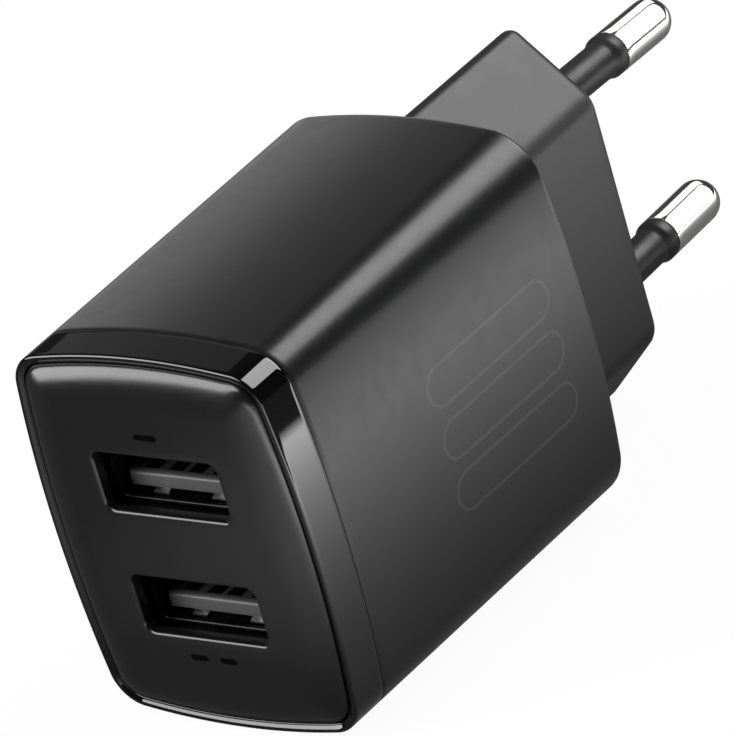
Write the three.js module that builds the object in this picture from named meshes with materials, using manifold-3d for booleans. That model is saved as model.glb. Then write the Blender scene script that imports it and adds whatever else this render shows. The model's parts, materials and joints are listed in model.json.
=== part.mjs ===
// Compact wall charger with two stacked USB-A sockets and a two-pin plug, in millimetres, +Z up.
// The origin is the middle of the plug block's seating face, halfway between the two pins.
// +Y runs out along the pins and the sockets face -Y, so +X is on the right of the sockets.
import * as THREE from "three";
import { mergeVertices } from "three/addons/utils/BufferGeometryUtils.js";
import Module from "manifold-3d";

const wasm = await Module();
wasm.setup();

// ---- Driving dimensions ----

const CLEARANCE = 0.2; // between parts that fit into each other

// Plug block: the part that goes into a recessed wall socket.
const PLUG_DEPTH = 17;
const PLUG_WIDTH = 13.4;
const PLUG_HEIGHT = 35.2;
const PLUG_POINT_CUT = 1.1; // how far the two pointed ends are blunted
const PLUG_WALL = 1.6;
const PLUG_REAR_WALL = 3;
const PLUG_EDGE = 0.8; // rounding of the seating face's edge
const NECK = { width: 11, height: 29, wall: 0.9 }; // passes through the housing's rear wall
const NECK_FLANGE = { reach: 1, depth: 1.8 }; // bears on the inside of that wall

// Two round pins, leaning towards each other a little.
const PIN_SPACING = 18.6; // at the seating face
const PIN_TIP_SPACING = 17.7;
const PIN_LENGTH = 19;
const PIN_RADIUS = 2;
const PIN_SHANK_RADIUS = 1.25;
const SLEEVE_RADIUS = 1.7;
const SLEEVE_LENGTH = 11;

// Body: bezel and housing together, slightly larger at the rear, with bowed sides.
const BODY_LENGTH = 38.6;
const BODY_RISE = 0.4; // middle of the body above the middle of the pins
const FRONT = { width: 27.3, height: 34.6, corner: 3.3 };
const REAR = { width: 28.5, height: 36, corner: 5.1 };
const SIDE_BOW_RADIUS = 106;
const TOP_BOW_RADIUS = 67;
const WALL = 1.8;
const REAR_WALL = 2;
const BAND = 3.8; // visible width of the bezel
const LIP = 0.8; // width of the bezel's rim round the front panel
const PANEL_CROWN = 0.7; // how far the front panel stands proud of the rim
const PANEL_LEDGE = 2.4; // depth of the panel's seat behind the rim

// USB-A sockets, one above the other.
const SOCKET_PITCH = 11.5;
const SOCKET_WIDTH = 12.5; // inside the shell
const SOCKET_HEIGHT = 5.12;
const SHELL_WALL = 0.3;
const SHELL_LENGTH = 12.2;
const SHELL_SETBACK = 1.4; // from the bezel's rim
const MOUTH_DEPTH = 1.1; // length of the panel's openings, before the wider pocket behind them
const MOUTH_CHAMFER = 0.3; // on the panel's openings
const TONGUE = { width: 11.1, thickness: 1.84, lift: 0.7, setback: 0.6, nose: 0.65 };
const CONTACT_X = [-3.5, -1, 1, 3.5];
const CONTACT = { width: 1, thickness: 0.2, slot: 1.5, slotDepth: 1.15 };
const TAB_X = 3; // the two retention tabs of a wall, left and right of the middle
const TAB = { width: 1.6, thickness: 0.25, window: 2.3 };

// Circuit boards.
const BOARD = 1.6;
const SOCKET_BOARD = 1.2;

// ---- Places worked out from them ----

const SEAT_Y = -PLUG_DEPTH; // rear face of the housing
const RIM_Y = SEAT_Y - BODY_LENGTH; // front rim of the bezel
const SEAM_Y = RIM_Y + BAND; // between the bezel and the housing
const LEDGE_Y = RIM_Y + PANEL_LEDGE;
const FACE_Y = RIM_Y - PANEL_CROWN;
const SHELL_Y = RIM_Y + SHELL_SETBACK; // front edge of the socket shells
const SHELL_END_Y = SHELL_Y + SHELL_LENGTH;
const SOCKET_BOARD_Y = SHELL_END_Y + 0.6;
const SOCKET_Z = { upper: BODY_RISE + SOCKET_PITCH / 2, lower: BODY_RISE - SOCKET_PITCH / 2 };
const BOARD_X = -7.8; // component side of the main board
const PIN_LEAN = Math.atan((PIN_SPACING - PIN_TIP_SPACING) / 2 / PIN_LENGTH);

// ---- Finishes ----

const finish = (color, roughness, metalness) => ({ color, roughness, metalness });
const SATIN_BLACK = finish(0x1d1d1e, 0.42, 0);
const GLOSS_BLACK = finish(0x121213, 0.12, 0);
const PANEL_BLACK = finish(0x18181a, 0.28, 0);
const MATT_BLACK = finish(0x2a2a2b, 0.55, 0);
const SLEEVE_BLACK = finish(0x1a1a1b, 0.5, 0);
const TONGUE_BLACK = finish(0x232324, 0.45, 0);
const NICKEL = finish(0xc9c8c4, 0.16, 1);
const SPRING_STEEL = finish(0xc2c2c0, 0.25, 1);
const GOLD = finish(0xc9a24e, 0.28, 1);
const COPPER_ALLOY = finish(0xb98a52, 0.35, 1);
const BOARD_GREEN = finish(0x1f5a38, 0.5, 0);
const FERRITE = finish(0x3a3a3c, 0.6, 0);
const TAPE_YELLOW = finish(0xd8b23a, 0.5, 0);
const CAN = finish(0xa9abb0, 0.3, 1);
const CAP_SLEEVE = finish(0x2b3350, 0.4, 0);
const CERAMIC_BLUE = finish(0x3466a8, 0.45, 0);
const RESISTOR_BROWN = finish(0x8c5a34, 0.55, 0);
const CHIP_BLACK = finish(0x202124, 0.6, 0);
const SHEET = finish(0xe3ddcf, 0.5, 0);

// ---- Shape helpers ----

function box([x0, x1], [y0, y1], [z0, z1]) {
  const shape = new THREE.BoxGeometry(x1 - x0, y1 - y0, z1 - z0);
  return shape.translate((x0 + x1) / 2, (y0 + y1) / 2, (z0 + z1) / 2);
}

// A box centred on x and z.
function slab(width, [y0, y1], height, x = 0, z = 0) {
  return box([x - width / 2, x + width / 2], [y0, y1], [z - height / 2, z + height / 2]);
}

// A round body about the Y axis, from [radius, y] pairs that begin and end on the axis or close.
function turned(profile, segments = 20) {
  return new THREE.LatheGeometry(profile.map(([radius, y]) => new THREE.Vector2(radius, y)), segments);
}

// A can or rod standing on `base` along +X.
function canAlongX(radius, length, [x, y, z], edge = 0.3) {
  const profile = [[0, 0], [radius, 0], [radius, length - edge], [radius - edge, length], [0, length]];
  return turned(profile, 18).rotateZ(-Math.PI / 2).translate(x, y, z);
}

// Joins closed rings of equal point count, each { y, points } with points counter-clockwise seen
// from -Y, into one capped body.
function loft(rings) {
  const count = rings[0].points.length;
  const position = rings.flatMap(({ y, points }) => points.flatMap((p) => [p.x, y, p.y]));
  const index = [];
  for (let ring = 0; ring < rings.length - 1; ring++) {
    for (let i = 0; i < count; i++) {
      const a = ring * count + i;
      const b = ring * count + ((i + 1) % count);
      index.push(a, a + count, b, a + count, b + count, b);
    }
  }
  const last = (rings.length - 1) * count;
  for (const [a, b, c] of THREE.ShapeUtils.triangulateShape(rings[0].points, [])) index.push(a, b, c);
  for (const [a, b, c] of THREE.ShapeUtils.triangulateShape(rings.at(-1).points, [])) {
    index.push(last + a, last + c, last + b);
  }
  const geometry = new THREE.BufferGeometry();
  geometry.setAttribute("position", new THREE.Float32BufferAttribute(position, 3));
  return geometry.setIndex(index);
}

// A leaf of constant thickness along a path of [along, across] points.
function leafShape(path, thickness) {
  const points = path.map(([along, across]) => new THREE.Vector2(along, across));
  const offset = (side) => points.map((point, i) => {
    const before = points[Math.max(i - 1, 0)];
    const after = points[Math.min(i + 1, points.length - 1)];
    const run = after.clone().sub(before).normalize();
    return new THREE.Vector2(point.x - side * run.y * thickness / 2, point.y + side * run.x * thickness / 2);
  });
  return new THREE.Shape([...offset(1), ...offset(-1).reverse()]);
}

// A leaf whose path runs in the YZ plane, as wide as `width` in X.
function leafAcrossX(path, thickness, width, x) {
  const leaf = new THREE.ExtrudeGeometry(leafShape(path, thickness), { depth: width, bevelEnabled: false });
  const turn = new THREE.Matrix4().set(0, 0, 1, x - width / 2, 1, 0, 0, 0, 0, 1, 0, 0, 0, 0, 0, 1);
  return leaf.applyMatrix4(turn);
}

// A leaf whose path runs in the XY plane, as wide as `width` in Z.
function leafAcrossZ(path, thickness, width, z) {
  const leaf = new THREE.ExtrudeGeometry(leafShape(path, thickness), { depth: width, bevelEnabled: false });
  return leaf.translate(0, 0, z - width / 2);
}

function toSolid(geometry) {
  const bare = geometry.clone();
  for (const name of ["normal", "uv"]) bare.deleteAttribute(name);
  const merged = mergeVertices(bare, 1e-5);
  return new wasm.Manifold(new wasm.Mesh({
    numProp: 3,
    vertProperties: new Float32Array(merged.attributes.position.array),
    triVerts: new Uint32Array(merged.index.array),
  }));
}

// The first body with `joined` added and then `cut` taken away.
function shaped(body, { joined = [], cut = [] }) {
  let solid = toSolid(body);
  for (const piece of joined) solid = solid.add(toSolid(piece));
  for (const piece of cut) solid = solid.subtract(toSolid(piece));
  const mesh = solid.getMesh();
  const geometry = new THREE.BufferGeometry();
  geometry.setAttribute("position", new THREE.Float32BufferAttribute(mesh.vertProperties, 3));
  return geometry.setIndex([...mesh.triVerts]);
}

// ---- Sections ----

// Outline of the body at `y`, `inset` inside its skin: two large arcs for the bowed sides, two for
// the top and bottom, and a corner circle that touches a side arc and a top arc from inside.
function bodyOutline(y, inset = 0) {
  const along = (y - RIM_Y) / BODY_LENGTH;
  const halfWidth = THREE.MathUtils.lerp(FRONT.width, REAR.width, along) / 2 - inset;
  const halfHeight = THREE.MathUtils.lerp(FRONT.height, REAR.height, along) / 2 - inset;
  const corner = Math.max(THREE.MathUtils.lerp(FRONT.corner, REAR.corner, along) - inset, 0.8);
  const side = new THREE.Vector2(halfWidth - SIDE_BOW_RADIUS, 0);
  const top = new THREE.Vector2(0, halfHeight - TOP_BOW_RADIUS);
  const fromSide = SIDE_BOW_RADIUS - corner;
  const fromTop = TOP_BOW_RADIUS - corner;
  const apart = side.distanceTo(top);
  const run = (fromSide ** 2 - fromTop ** 2 + apart ** 2) / (2 * apart);
  const rise = Math.sqrt(fromSide ** 2 - run ** 2);
  const line = top.clone().sub(side).normalize();
  const centre = side.clone().addScaledVector(line, run);
  centre.add(new THREE.Vector2(-line.y, line.x).multiplyScalar(line.x > 0 ? rise : -rise));
  const sideAngle = centre.clone().sub(side).angle();
  const topAngle = centre.clone().sub(top).angle();
  const arc = (middle, radius, from, to, steps) => Array.from({ length: steps }, (_, i) => {
    const angle = from + (to - from) * i / steps;
    return new THREE.Vector2(middle.x + radius * Math.cos(angle), middle.y + radius * Math.sin(angle));
  });
  const quarter = [
    ...arc(side, SIDE_BOW_RADIUS, 0, sideAngle, 3),
    ...arc(centre, corner, sideAngle, topAngle, 6),
    ...arc(top, TOP_BOW_RADIUS, topAngle, Math.PI / 2, 3),
    new THREE.Vector2(0, halfHeight),
  ];
  const mirrored = quarter.slice(0, -1).reverse().map((p) => new THREE.Vector2(-p.x, p.y));
  const upper = [...quarter, ...mirrored];
  const lower = upper.slice(1, -1).map((p) => new THREE.Vector2(-p.x, -p.y));
  return [...upper, ...lower].map((p) => new THREE.Vector2(p.x, p.y + BODY_RISE));
}

const bodyRing = (y, inset) => ({ y, points: bodyOutline(y, inset) });

// Outline of the plug block: flat sides and two blunt pointed ends, `grow` outside its skin.
function plugOutline(grow = 0) {
  const halfWidth = PLUG_WIDTH / 2 + grow;
  const halfHeight = PLUG_HEIGHT / 2 + grow;
  const point = halfHeight + (Math.SQRT2 - 1) * PLUG_POINT_CUT; // where the slants would meet
  const shoulder = point - halfWidth;
  const blunt = point - halfHeight;
  const ease = 0.45; // softens the side corners
  const quarter = [
    [halfWidth, 0], [halfWidth, shoulder - ease], [halfWidth - ease * 0.3, shoulder + ease * 0.3],
    [blunt * 2, point - blunt * 2], [blunt, halfHeight - blunt * 0.25], [0, halfHeight],
  ];
  const mirrored = quarter.slice(0, -1).reverse().map(([x, z]) => [-x, z]);
  const upper = [...quarter, ...mirrored];
  const lower = upper.slice(1, -1).map(([x, z]) => [-x, -z]);
  return [...upper, ...lower].map(([x, z]) => new THREE.Vector2(x, z));
}

const plugRing = (y, grow) => ({ y, points: plugOutline(grow) });

// Outline of the neck behind the plug block: an upright octagon with long slants.
function neckRing(y, grow = 0) {
  const halfWidth = NECK.width / 2 + grow;
  const halfHeight = NECK.height / 2 + grow;
  const slant = 4;
  const corners = [
    [halfWidth, -halfHeight + slant], [halfWidth, halfHeight - slant], [halfWidth - slant, halfHeight],
    [slant - halfWidth, halfHeight], [-halfWidth, halfHeight - slant], [-halfWidth, slant - halfHeight],
    [slant - halfWidth, -halfHeight], [halfWidth - slant, -halfHeight],
  ];
  return { y, points: corners.map(([x, z]) => new THREE.Vector2(x, z)) };
}

const rectangle = (width, height, z) => [[1, -1], [1, 1], [-1, 1], [-1, -1]]
  .map(([sx, sz]) => new THREE.Vector2(sx * width / 2, z + sz * height / 2));

// ---- Assembly ----

const group = new THREE.Group();

function addPart(name, geometry, look, parent = group) {
  const flat = geometry.index ? geometry.toNonIndexed() : geometry;
  flat.computeVertexNormals();
  const mesh = new THREE.Mesh(flat, new THREE.MeshStandardMaterial(look));
  mesh.name = name;
  parent.add(mesh);
}

// ---- Casing ----

function housing() {
  const edge = 0.35; // rounding of the rear edge
  const skin = loft([bodyRing(SEAM_Y, 0), bodyRing(SEAT_Y - edge, 0), bodyRing(SEAT_Y, edge)]);
  const cavity = loft([bodyRing(SEAM_Y - 1, WALL), bodyRing(SEAT_Y - REAR_WALL, WALL)]);
  const neckHole = loft([neckRing(SEAT_Y - REAR_WALL - 1, CLEARANCE), neckRing(SEAT_Y + 1, CLEARANCE)]);
  return shaped(skin, { cut: [cavity, neckHole] });
}

// A bright band with a rim round the panel, a ledge behind it, and a spigot inside the housing.
function bezel() {
  const spigotInset = WALL + CLEARANCE;
  const spigotWall = 1;
  const spigotEnd = SEAM_Y + 2.6;
  const band = loft([
    bodyRing(RIM_Y, 0.45), bodyRing(RIM_Y + 0.13, 0.13), bodyRing(RIM_Y + 0.45, 0), bodyRing(SEAM_Y, 0),
  ]);
  const spigot = loft([bodyRing(SEAM_Y - 1, spigotInset), bodyRing(spigotEnd, spigotInset)]);
  const panelSeat = loft([bodyRing(RIM_Y - 1, LIP), bodyRing(LEDGE_Y, LIP)]);
  const boreInset = spigotInset + spigotWall;
  const bore = loft([bodyRing(RIM_Y - 1, boreInset), bodyRing(spigotEnd + 1, boreInset)]);
  return shaped(band, { joined: [spigot], cut: [panelSeat, bore] });
}

// Pillow-shaped front with two chamfered mouths and a pocket behind each for the shell.
function frontPanel() {
  const inset = LIP + CLEARANCE;
  const pillow = loft([
    bodyRing(FACE_Y, inset + 4.2), bodyRing(FACE_Y + 0.12, inset + 2), bodyRing(FACE_Y + 0.45, inset + 0.7),
    bodyRing(FACE_Y + 0.95, inset + 0.15), bodyRing(RIM_Y + 0.7, inset), bodyRing(LEDGE_Y, inset),
  ]);
  const mouths = Object.values(SOCKET_Z).flatMap((z) => {
    const width = SOCKET_WIDTH + 0.2;
    const height = SOCKET_HEIGHT + 0.2;
    const spread = 2 * MOUTH_CHAMFER + 0.2;
    const chamfer = loft([
      { y: FACE_Y - 0.1, points: rectangle(width + spread, height + spread, z) },
      { y: FACE_Y + MOUTH_CHAMFER, points: rectangle(width, height, z) },
      { y: LEDGE_Y + 1, points: rectangle(width, height, z) },
    ]);
    const shellRoom = 2 * (SHELL_WALL + CLEARANCE);
    const pocketY = [FACE_Y + MOUTH_DEPTH, LEDGE_Y + 1];
    const pocket = slab(SOCKET_WIDTH + shellRoom, pocketY, SOCKET_HEIGHT + shellRoom, 0, z);
    return [chamfer, pocket];
  });
  return shaped(pillow, { cut: mouths });
}

// Hollow block that sits on the housing's rear face, with a flanged neck through the wall.
function plugBlock() {
  const innerFace = SEAT_Y - REAR_WALL;
  const neckEnd = innerFace - NECK_FLANGE.depth;
  const skin = loft([
    plugRing(SEAT_Y, 0), plugRing(-PLUG_EDGE, 0), plugRing(-PLUG_EDGE * 0.3, -PLUG_EDGE * 0.3),
    plugRing(0, -PLUG_EDGE),
  ]);
  const neck = loft([neckRing(neckEnd), neckRing(SEAT_Y + 0.5)]);
  const flange = loft([neckRing(neckEnd, NECK_FLANGE.reach), neckRing(innerFace, NECK_FLANGE.reach)]);
  const hollow = loft([plugRing(SEAT_Y + PLUG_WALL, -PLUG_WALL), plugRing(-PLUG_REAR_WALL, -PLUG_WALL)]);
  const neckBore = loft([neckRing(neckEnd - 1, -NECK.wall), neckRing(SEAT_Y + PLUG_WALL + 0.5, -NECK.wall)]);
  const holes = [1, -1].map((side) => {
    const hole = turned([[0, -5], [SLEEVE_RADIUS + CLEARANCE, -5], [SLEEVE_RADIUS + CLEARANCE, 2], [0, 2]]);
    return hole.rotateX(-side * PIN_LEAN).translate(0, 0, side * PIN_SPACING / 2);
  });
  return shaped(skin, { joined: [neck, flange], cut: [hollow, neckBore, ...holes] });
}

// ---- Pins ----

function pin() {
  const shoulder = SLEEVE_LENGTH + CLEARANCE;
  const domeStart = PIN_LENGTH - PIN_RADIUS;
  const dome = Array.from({ length: 6 }, (_, i) => {
    const angle = Math.PI / 2 * i / 6;
    return [PIN_RADIUS * Math.cos(angle), domeStart + PIN_RADIUS * Math.sin(angle)];
  });
  return turned([
    [0, -10], [1.1, -10], [1.1, -5.2], [2.4, -5.2], [2.4, -3.8], [PIN_SHANK_RADIUS, -3.8],
    [PIN_SHANK_RADIUS, shoulder], [PIN_RADIUS, shoulder], ...dome, [0, PIN_LENGTH],
  ]);
}

// Insulating sleeve that flares to the pin's full diameter at its outer end.
function pinSleeve() {
  const bore = PIN_SHANK_RADIUS + 0.15;
  return turned([
    [bore, -3.4], [SLEEVE_RADIUS, -3.4], [SLEEVE_RADIUS, SLEEVE_LENGTH - 1.4],
    [PIN_RADIUS, SLEEVE_LENGTH - 0.9], [PIN_RADIUS, SLEEVE_LENGTH], [bore, SLEEVE_LENGTH], [bore, -3.4],
  ]);
}

// Leaf from the main board to the tail of a pin.
function pinContact(z) {
  const path = [
    [-7.5, -24.1], [-7.5, -22.9], [-6.4, -22.2], [-3.4, -21], [-2.2, -18.5], [-1.6, -14], [-1.5, -6.5],
  ];
  return leafAcrossZ(path, 0.3, 2.6, z);
}

for (const [name, side] of [["upper", 1], ["lower", -1]]) {
  const leaning = new THREE.Group();
  leaning.position.z = side * PIN_SPACING / 2;
  leaning.rotation.x = -side * PIN_LEAN;
  group.add(leaning);
  addPart(`pin_${name}`, pin(), NICKEL, leaning);
  addPart(`pin_sleeve_${name}`, pinSleeve(), SLEEVE_BLACK, leaning);
  addPart(`pin_contact_${name}`, pinContact(side * PIN_SPACING / 2), COPPER_ALLOY);
}

addPart("main_housing", housing(), SATIN_BLACK);
addPart("front_bezel", bezel(), GLOSS_BLACK);
addPart("front_panel", frontPanel(), PANEL_BLACK);
addPart("plug_block", plugBlock(), MATT_BLACK);

// ---- USB-A sockets ----

// Folded metal shell with two windows in the floor and two in the roof for the retention tabs.
function shell(z) {
  const walls = 2 * SHELL_WALL;
  const outer = slab(SOCKET_WIDTH + walls, [SHELL_Y, SHELL_END_Y], SOCKET_HEIGHT + walls, 0, z);
  const inner = slab(SOCKET_WIDTH, [SHELL_Y - 1, SHELL_END_Y + 1], SOCKET_HEIGHT, 0, z);
  const windows = [-TAB_X, TAB_X].map((x) => {
    return slab(TAB.window, [SHELL_Y + 0.5, SHELL_Y + 6.6], SOCKET_HEIGHT + 2, x, z);
  });
  return shaped(outer, { cut: [inner, ...windows] });
}

// Rear block and tongue in one moulding, with a slot for each contact in the tongue's upper side.
function insulator(z) {
  const floor = z - SOCKET_HEIGHT / 2;
  const blockY = SHELL_END_Y - 3;
  const bottom = floor + TONGUE.lift;
  const top = bottom + TONGUE.thickness;
  const tipY = SHELL_Y + TONGUE.setback;
  const block = slab(SOCKET_WIDTH - CLEARANCE, [blockY, SHELL_END_Y], SOCKET_HEIGHT - CLEARANCE, 0, z);
  const side = new THREE.Shape([
    new THREE.Vector2(tipY, bottom), new THREE.Vector2(blockY + 1, bottom), new THREE.Vector2(blockY + 1, top),
    new THREE.Vector2(tipY + TONGUE.nose, top), new THREE.Vector2(tipY, top - TONGUE.nose),
  ]);
  const tongue = new THREE.ExtrudeGeometry(side, { depth: TONGUE.width, bevelEnabled: false });
  tongue.applyMatrix4(new THREE.Matrix4().set(0, 0, 1, -TONGUE.width / 2, 1, 0, 0, 0, 0, 1, 0, 0, 0, 0, 0, 1));
  const slots = CONTACT_X.map((x) => {
    const across = [x - CONTACT.slot / 2, x + CONTACT.slot / 2];
    return box(across, [tipY + 0.6, blockY + 1.2], [top - CONTACT.slotDepth, top + 1]);
  });
  return shaped(block, { joined: [tongue], cut: slots });
}

// Sprung contact: it leaves the rear block, rises to a crown above the tongue and dips at its tip.
function contact(x, z) {
  const top = z - SOCKET_HEIGHT / 2 + TONGUE.lift + TONGUE.thickness;
  const root = SHELL_END_Y - 2.1;
  const path = [
    [root, top - 0.3], [root - 2, top - 0.22], [root - 4.6, top + 0.2], [root - 5.6, top + 0.3],
    [root - 6.6, top + 0.1], [root - 7.6, top - 0.35],
  ];
  return leafAcrossX(path, CONTACT.thickness, CONTACT.width, x);
}

// Retention tab in the floor (side -1) or the roof (side 1): it bows inwards and grips the plug.
function tab(x, z, side) {
  const wall = SOCKET_HEIGHT / 2 + SHELL_WALL / 2;
  const root = SHELL_Y + 6.3;
  const path = [
    [root, wall], [root - 1.4, wall - 0.02], [root - 3.9, wall - 0.42], [root - 4.5, wall - 0.48],
    [root - 5.4, wall - 0.1],
  ];
  return leafAcrossX(path.map(([y, h]) => [y, z + side * h]), TAB.thickness, TAB.width, x);
}

for (const [name, z] of Object.entries(SOCKET_Z)) {
  addPart(`shell_${name}`, shell(z), SPRING_STEEL);
  addPart(`insulator_${name}`, insulator(z), TONGUE_BLACK);
  CONTACT_X.forEach((x, i) => addPart(`contact_${name}_${i + 1}`, contact(x, z), GOLD));
  for (const [wall, side] of [["floor", -1], ["roof", 1]]) {
    addPart(`tab_${name}_${wall}_left`, tab(-TAB_X, z, side), SPRING_STEEL);
    addPart(`tab_${name}_${wall}_right`, tab(TAB_X, z, side), SPRING_STEEL);
  }
}

// ---- Circuit ----

const boardZ = [BODY_RISE - 13.6, BODY_RISE + 13.6];
const socketBoardEnd = SOCKET_BOARD_Y + SOCKET_BOARD;
addPart("socket_board", box([-10.8, 10.8], [SOCKET_BOARD_Y, socketBoardEnd], boardZ), BOARD_GREEN);
const mainBoardY = [socketBoardEnd + CLEARANCE, -21.4];
addPart("main_board", box([BOARD_X - BOARD, BOARD_X], mainBoardY, boardZ), BOARD_GREEN);

// Transformer: two E cores that meet in the middle, a bobbin on the centre leg and its winding.
const TRANSFORMER = { x: 0.6, y: -32.4, z: 0, width: 13, depth: 7, height: 12, leg: 3.6, side: 1.7, back: 2 };

function coreHalf(end) {
  const { x, y, z, width, depth, height, leg, side, back } = TRANSFORMER;
  const inner = height / 2 - back;
  const yRange = [y - depth / 2, y + depth / 2];
  const zRange = (from, to) => [z + end * from, z + end * to].sort((a, b) => a - b);
  const post = (x0, x1) => box([x + x0, x + x1], yRange, zRange(0, inner + 0.5));
  const plate = box([x - width / 2, x + width / 2], yRange, zRange(inner, height / 2));
  const centre = box([x - leg / 2, x + leg / 2], [y - leg / 2, y + leg / 2], zRange(0, inner + 0.5));
  const left = post(-width / 2, -width / 2 + side);
  const right = post(width / 2 - side, width / 2);
  return shaped(plate, { joined: [centre, left, right] });
}

function bobbin() {
  const { x, y, z, height, leg, back } = TRANSFORMER;
  const half = height / 2 - back - CLEARANCE;
  const tube = leg + 1.4;
  const body = box([x - tube / 2, x + tube / 2], [y - tube / 2, y + tube / 2], [z - half, z + half]);
  const flanges = [[z - half, z - half + 0.6], [z + half - 0.6, z + half]].map((range) => {
    return box([x - 4.4, x + 4.4], [y - 4.8, y + 4.8], range);
  });
  const bore = leg / 2 + CLEARANCE;
  const hole = box([x - bore, x + bore], [y - bore, y + bore], [z - 10, z + 10]);
  return shaped(body, { joined: flanges, cut: [hole] });
}

function winding() {
  const { x, y, z, height, leg, back } = TRANSFORMER;
  const half = height / 2 - back - CLEARANCE - 0.6 - CLEARANCE;
  const bore = (leg + 1.4) / 2 + CLEARANCE;
  const body = box([x - 4.1, x + 4.1], [y - 4.5, y + 4.5], [z - half, z + half]);
  const hole = box([x - bore, x + bore], [y - bore, y + bore], [z - 10, z + 10]);
  return shaped(body, { cut: [hole] });
}

addPart("transformer_core_upper", coreHalf(1), FERRITE);
addPart("transformer_core_lower", coreHalf(-1), FERRITE);
addPart("transformer_bobbin", bobbin(), CHIP_BLACK);
addPart("transformer_winding", winding(), TAPE_YELLOW);

addPart("bulk_capacitor_1", canAlongX(3.15, 12, [BOARD_X, -27.6, 10.6]), CAP_SLEEVE);
addPart("bulk_capacitor_2", canAlongX(3.15, 12, [BOARD_X, -34.6, 10.6]), CAP_SLEEVE);
addPart("output_capacitor_1", canAlongX(3.15, 8, [BOARD_X, -29.2, -10.6]), CAN);
addPart("output_capacitor_2", canAlongX(3.15, 8, [BOARD_X, -36, -10.6]), CAN);
addPart("fusible_resistor", canAlongX(1.5, 7, [BOARD_X, -23.6, -4.6], 0.5), RESISTOR_BROWN);
addPart("suppressor_capacitor", canAlongX(3, 2.6, [BOARD_X + 9, -25.6, -10.6], 0.6), CERAMIC_BLUE);
addPart("filter_inductor", turned([[0, -18], [2.8, -18], [2.8, -11], [0, -11]], 18), FERRITE);
addPart("bridge_rectifier", box([BOARD_X, BOARD_X + 2.4], [-27.6, -23], [0.4, 4.6]), CHIP_BLACK);
addPart("insulating_sheet", box([BOARD_X + 0.2, 7.8], [-38.6, -22], [-7.3, -6.9]), SHEET);

const boardBack = BOARD_X - BOARD;
addPart("controller_chip", box([boardBack - 1.5, boardBack], [-29, -24], [4, 8]), CHIP_BLACK);
addPart("rectifier_chip", box([boardBack - 1.5, boardBack], [-36, -31], [-10, -6]), CHIP_BLACK);
addPart("charging_chip", box([3, 7], [socketBoardEnd, socketBoardEnd + 1], [-12, -8]), CHIP_BLACK);

export default group;
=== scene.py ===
"""Compact two-socket wall charger with a two-pin plug: visible pieces, finishes and stage."""

import json
import math

import bmesh
import bpy
import numpy as np
from mathutils import Matrix, Vector

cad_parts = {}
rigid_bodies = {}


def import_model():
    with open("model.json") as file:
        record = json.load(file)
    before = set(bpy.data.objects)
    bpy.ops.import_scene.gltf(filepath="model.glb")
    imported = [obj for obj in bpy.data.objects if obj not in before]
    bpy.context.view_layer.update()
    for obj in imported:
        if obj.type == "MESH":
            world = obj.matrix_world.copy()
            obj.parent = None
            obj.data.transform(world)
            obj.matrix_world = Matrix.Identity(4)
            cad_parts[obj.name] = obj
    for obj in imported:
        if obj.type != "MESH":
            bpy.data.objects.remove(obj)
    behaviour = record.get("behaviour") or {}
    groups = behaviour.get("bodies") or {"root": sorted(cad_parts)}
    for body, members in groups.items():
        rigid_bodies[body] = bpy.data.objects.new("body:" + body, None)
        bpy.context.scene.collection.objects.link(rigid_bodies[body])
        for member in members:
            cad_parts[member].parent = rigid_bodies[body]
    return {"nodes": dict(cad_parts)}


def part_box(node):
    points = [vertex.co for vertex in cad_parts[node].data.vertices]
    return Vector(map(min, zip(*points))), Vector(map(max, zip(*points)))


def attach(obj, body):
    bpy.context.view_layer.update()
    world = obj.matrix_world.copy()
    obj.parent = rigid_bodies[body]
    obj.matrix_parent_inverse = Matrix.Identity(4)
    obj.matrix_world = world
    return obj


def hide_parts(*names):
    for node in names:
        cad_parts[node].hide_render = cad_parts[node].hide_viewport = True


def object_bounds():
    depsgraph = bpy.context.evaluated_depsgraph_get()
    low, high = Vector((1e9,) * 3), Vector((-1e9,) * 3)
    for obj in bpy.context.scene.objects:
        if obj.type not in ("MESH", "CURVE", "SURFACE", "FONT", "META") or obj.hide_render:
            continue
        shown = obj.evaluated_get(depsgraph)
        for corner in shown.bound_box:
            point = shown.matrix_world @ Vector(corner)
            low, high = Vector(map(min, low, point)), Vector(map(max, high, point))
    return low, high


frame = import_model()
CAD_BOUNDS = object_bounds()

bl_info = {
    "name": "Wall Charger Builder",
    "version": (1, 0, 0),
    "blender": (4, 5, 0),
    "location": "3D View > Sidebar > Charger",
    "description": "Builds the visible pieces and finishes of a two-socket wall charger",
    "category": "Object",
}

MM = 0.001


def node_box(name):
    """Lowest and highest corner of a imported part, in millimetres."""
    low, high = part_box(name)
    return np.array(low) / MM, np.array(high) / MM


# ---- Places, in millimetres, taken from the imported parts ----

HOUSING_BOX = node_box("main_housing")
BEZEL_BOX = node_box("front_bezel")
PANEL_BOX = node_box("front_panel")
PLUG_BOX = node_box("plug_block")
SHELL_BOX = node_box("shell_upper")

SEAT_Y = HOUSING_BOX[1][1]
SEAM_Y = HOUSING_BOX[0][1]
RIM_Y = BEZEL_BOX[0][1]
FACE_Y = PANEL_BOX[0][1]
LEDGE_Y = PANEL_BOX[1][1]
PLUG_FACE_Y = PLUG_BOX[1][1]
SHELL_Y = SHELL_BOX[0][1]
SHELL_END_Y = SHELL_BOX[1][1]
MID_Z = (HOUSING_BOX[0][2] + HOUSING_BOX[1][2]) / 2
SOCKETS = {}
for socket_name in ("upper", "lower"):
    socket_low, socket_high = node_box(f"shell_{socket_name}")
    SOCKETS[socket_name] = (socket_low[2] + socket_high[2]) / 2

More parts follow.
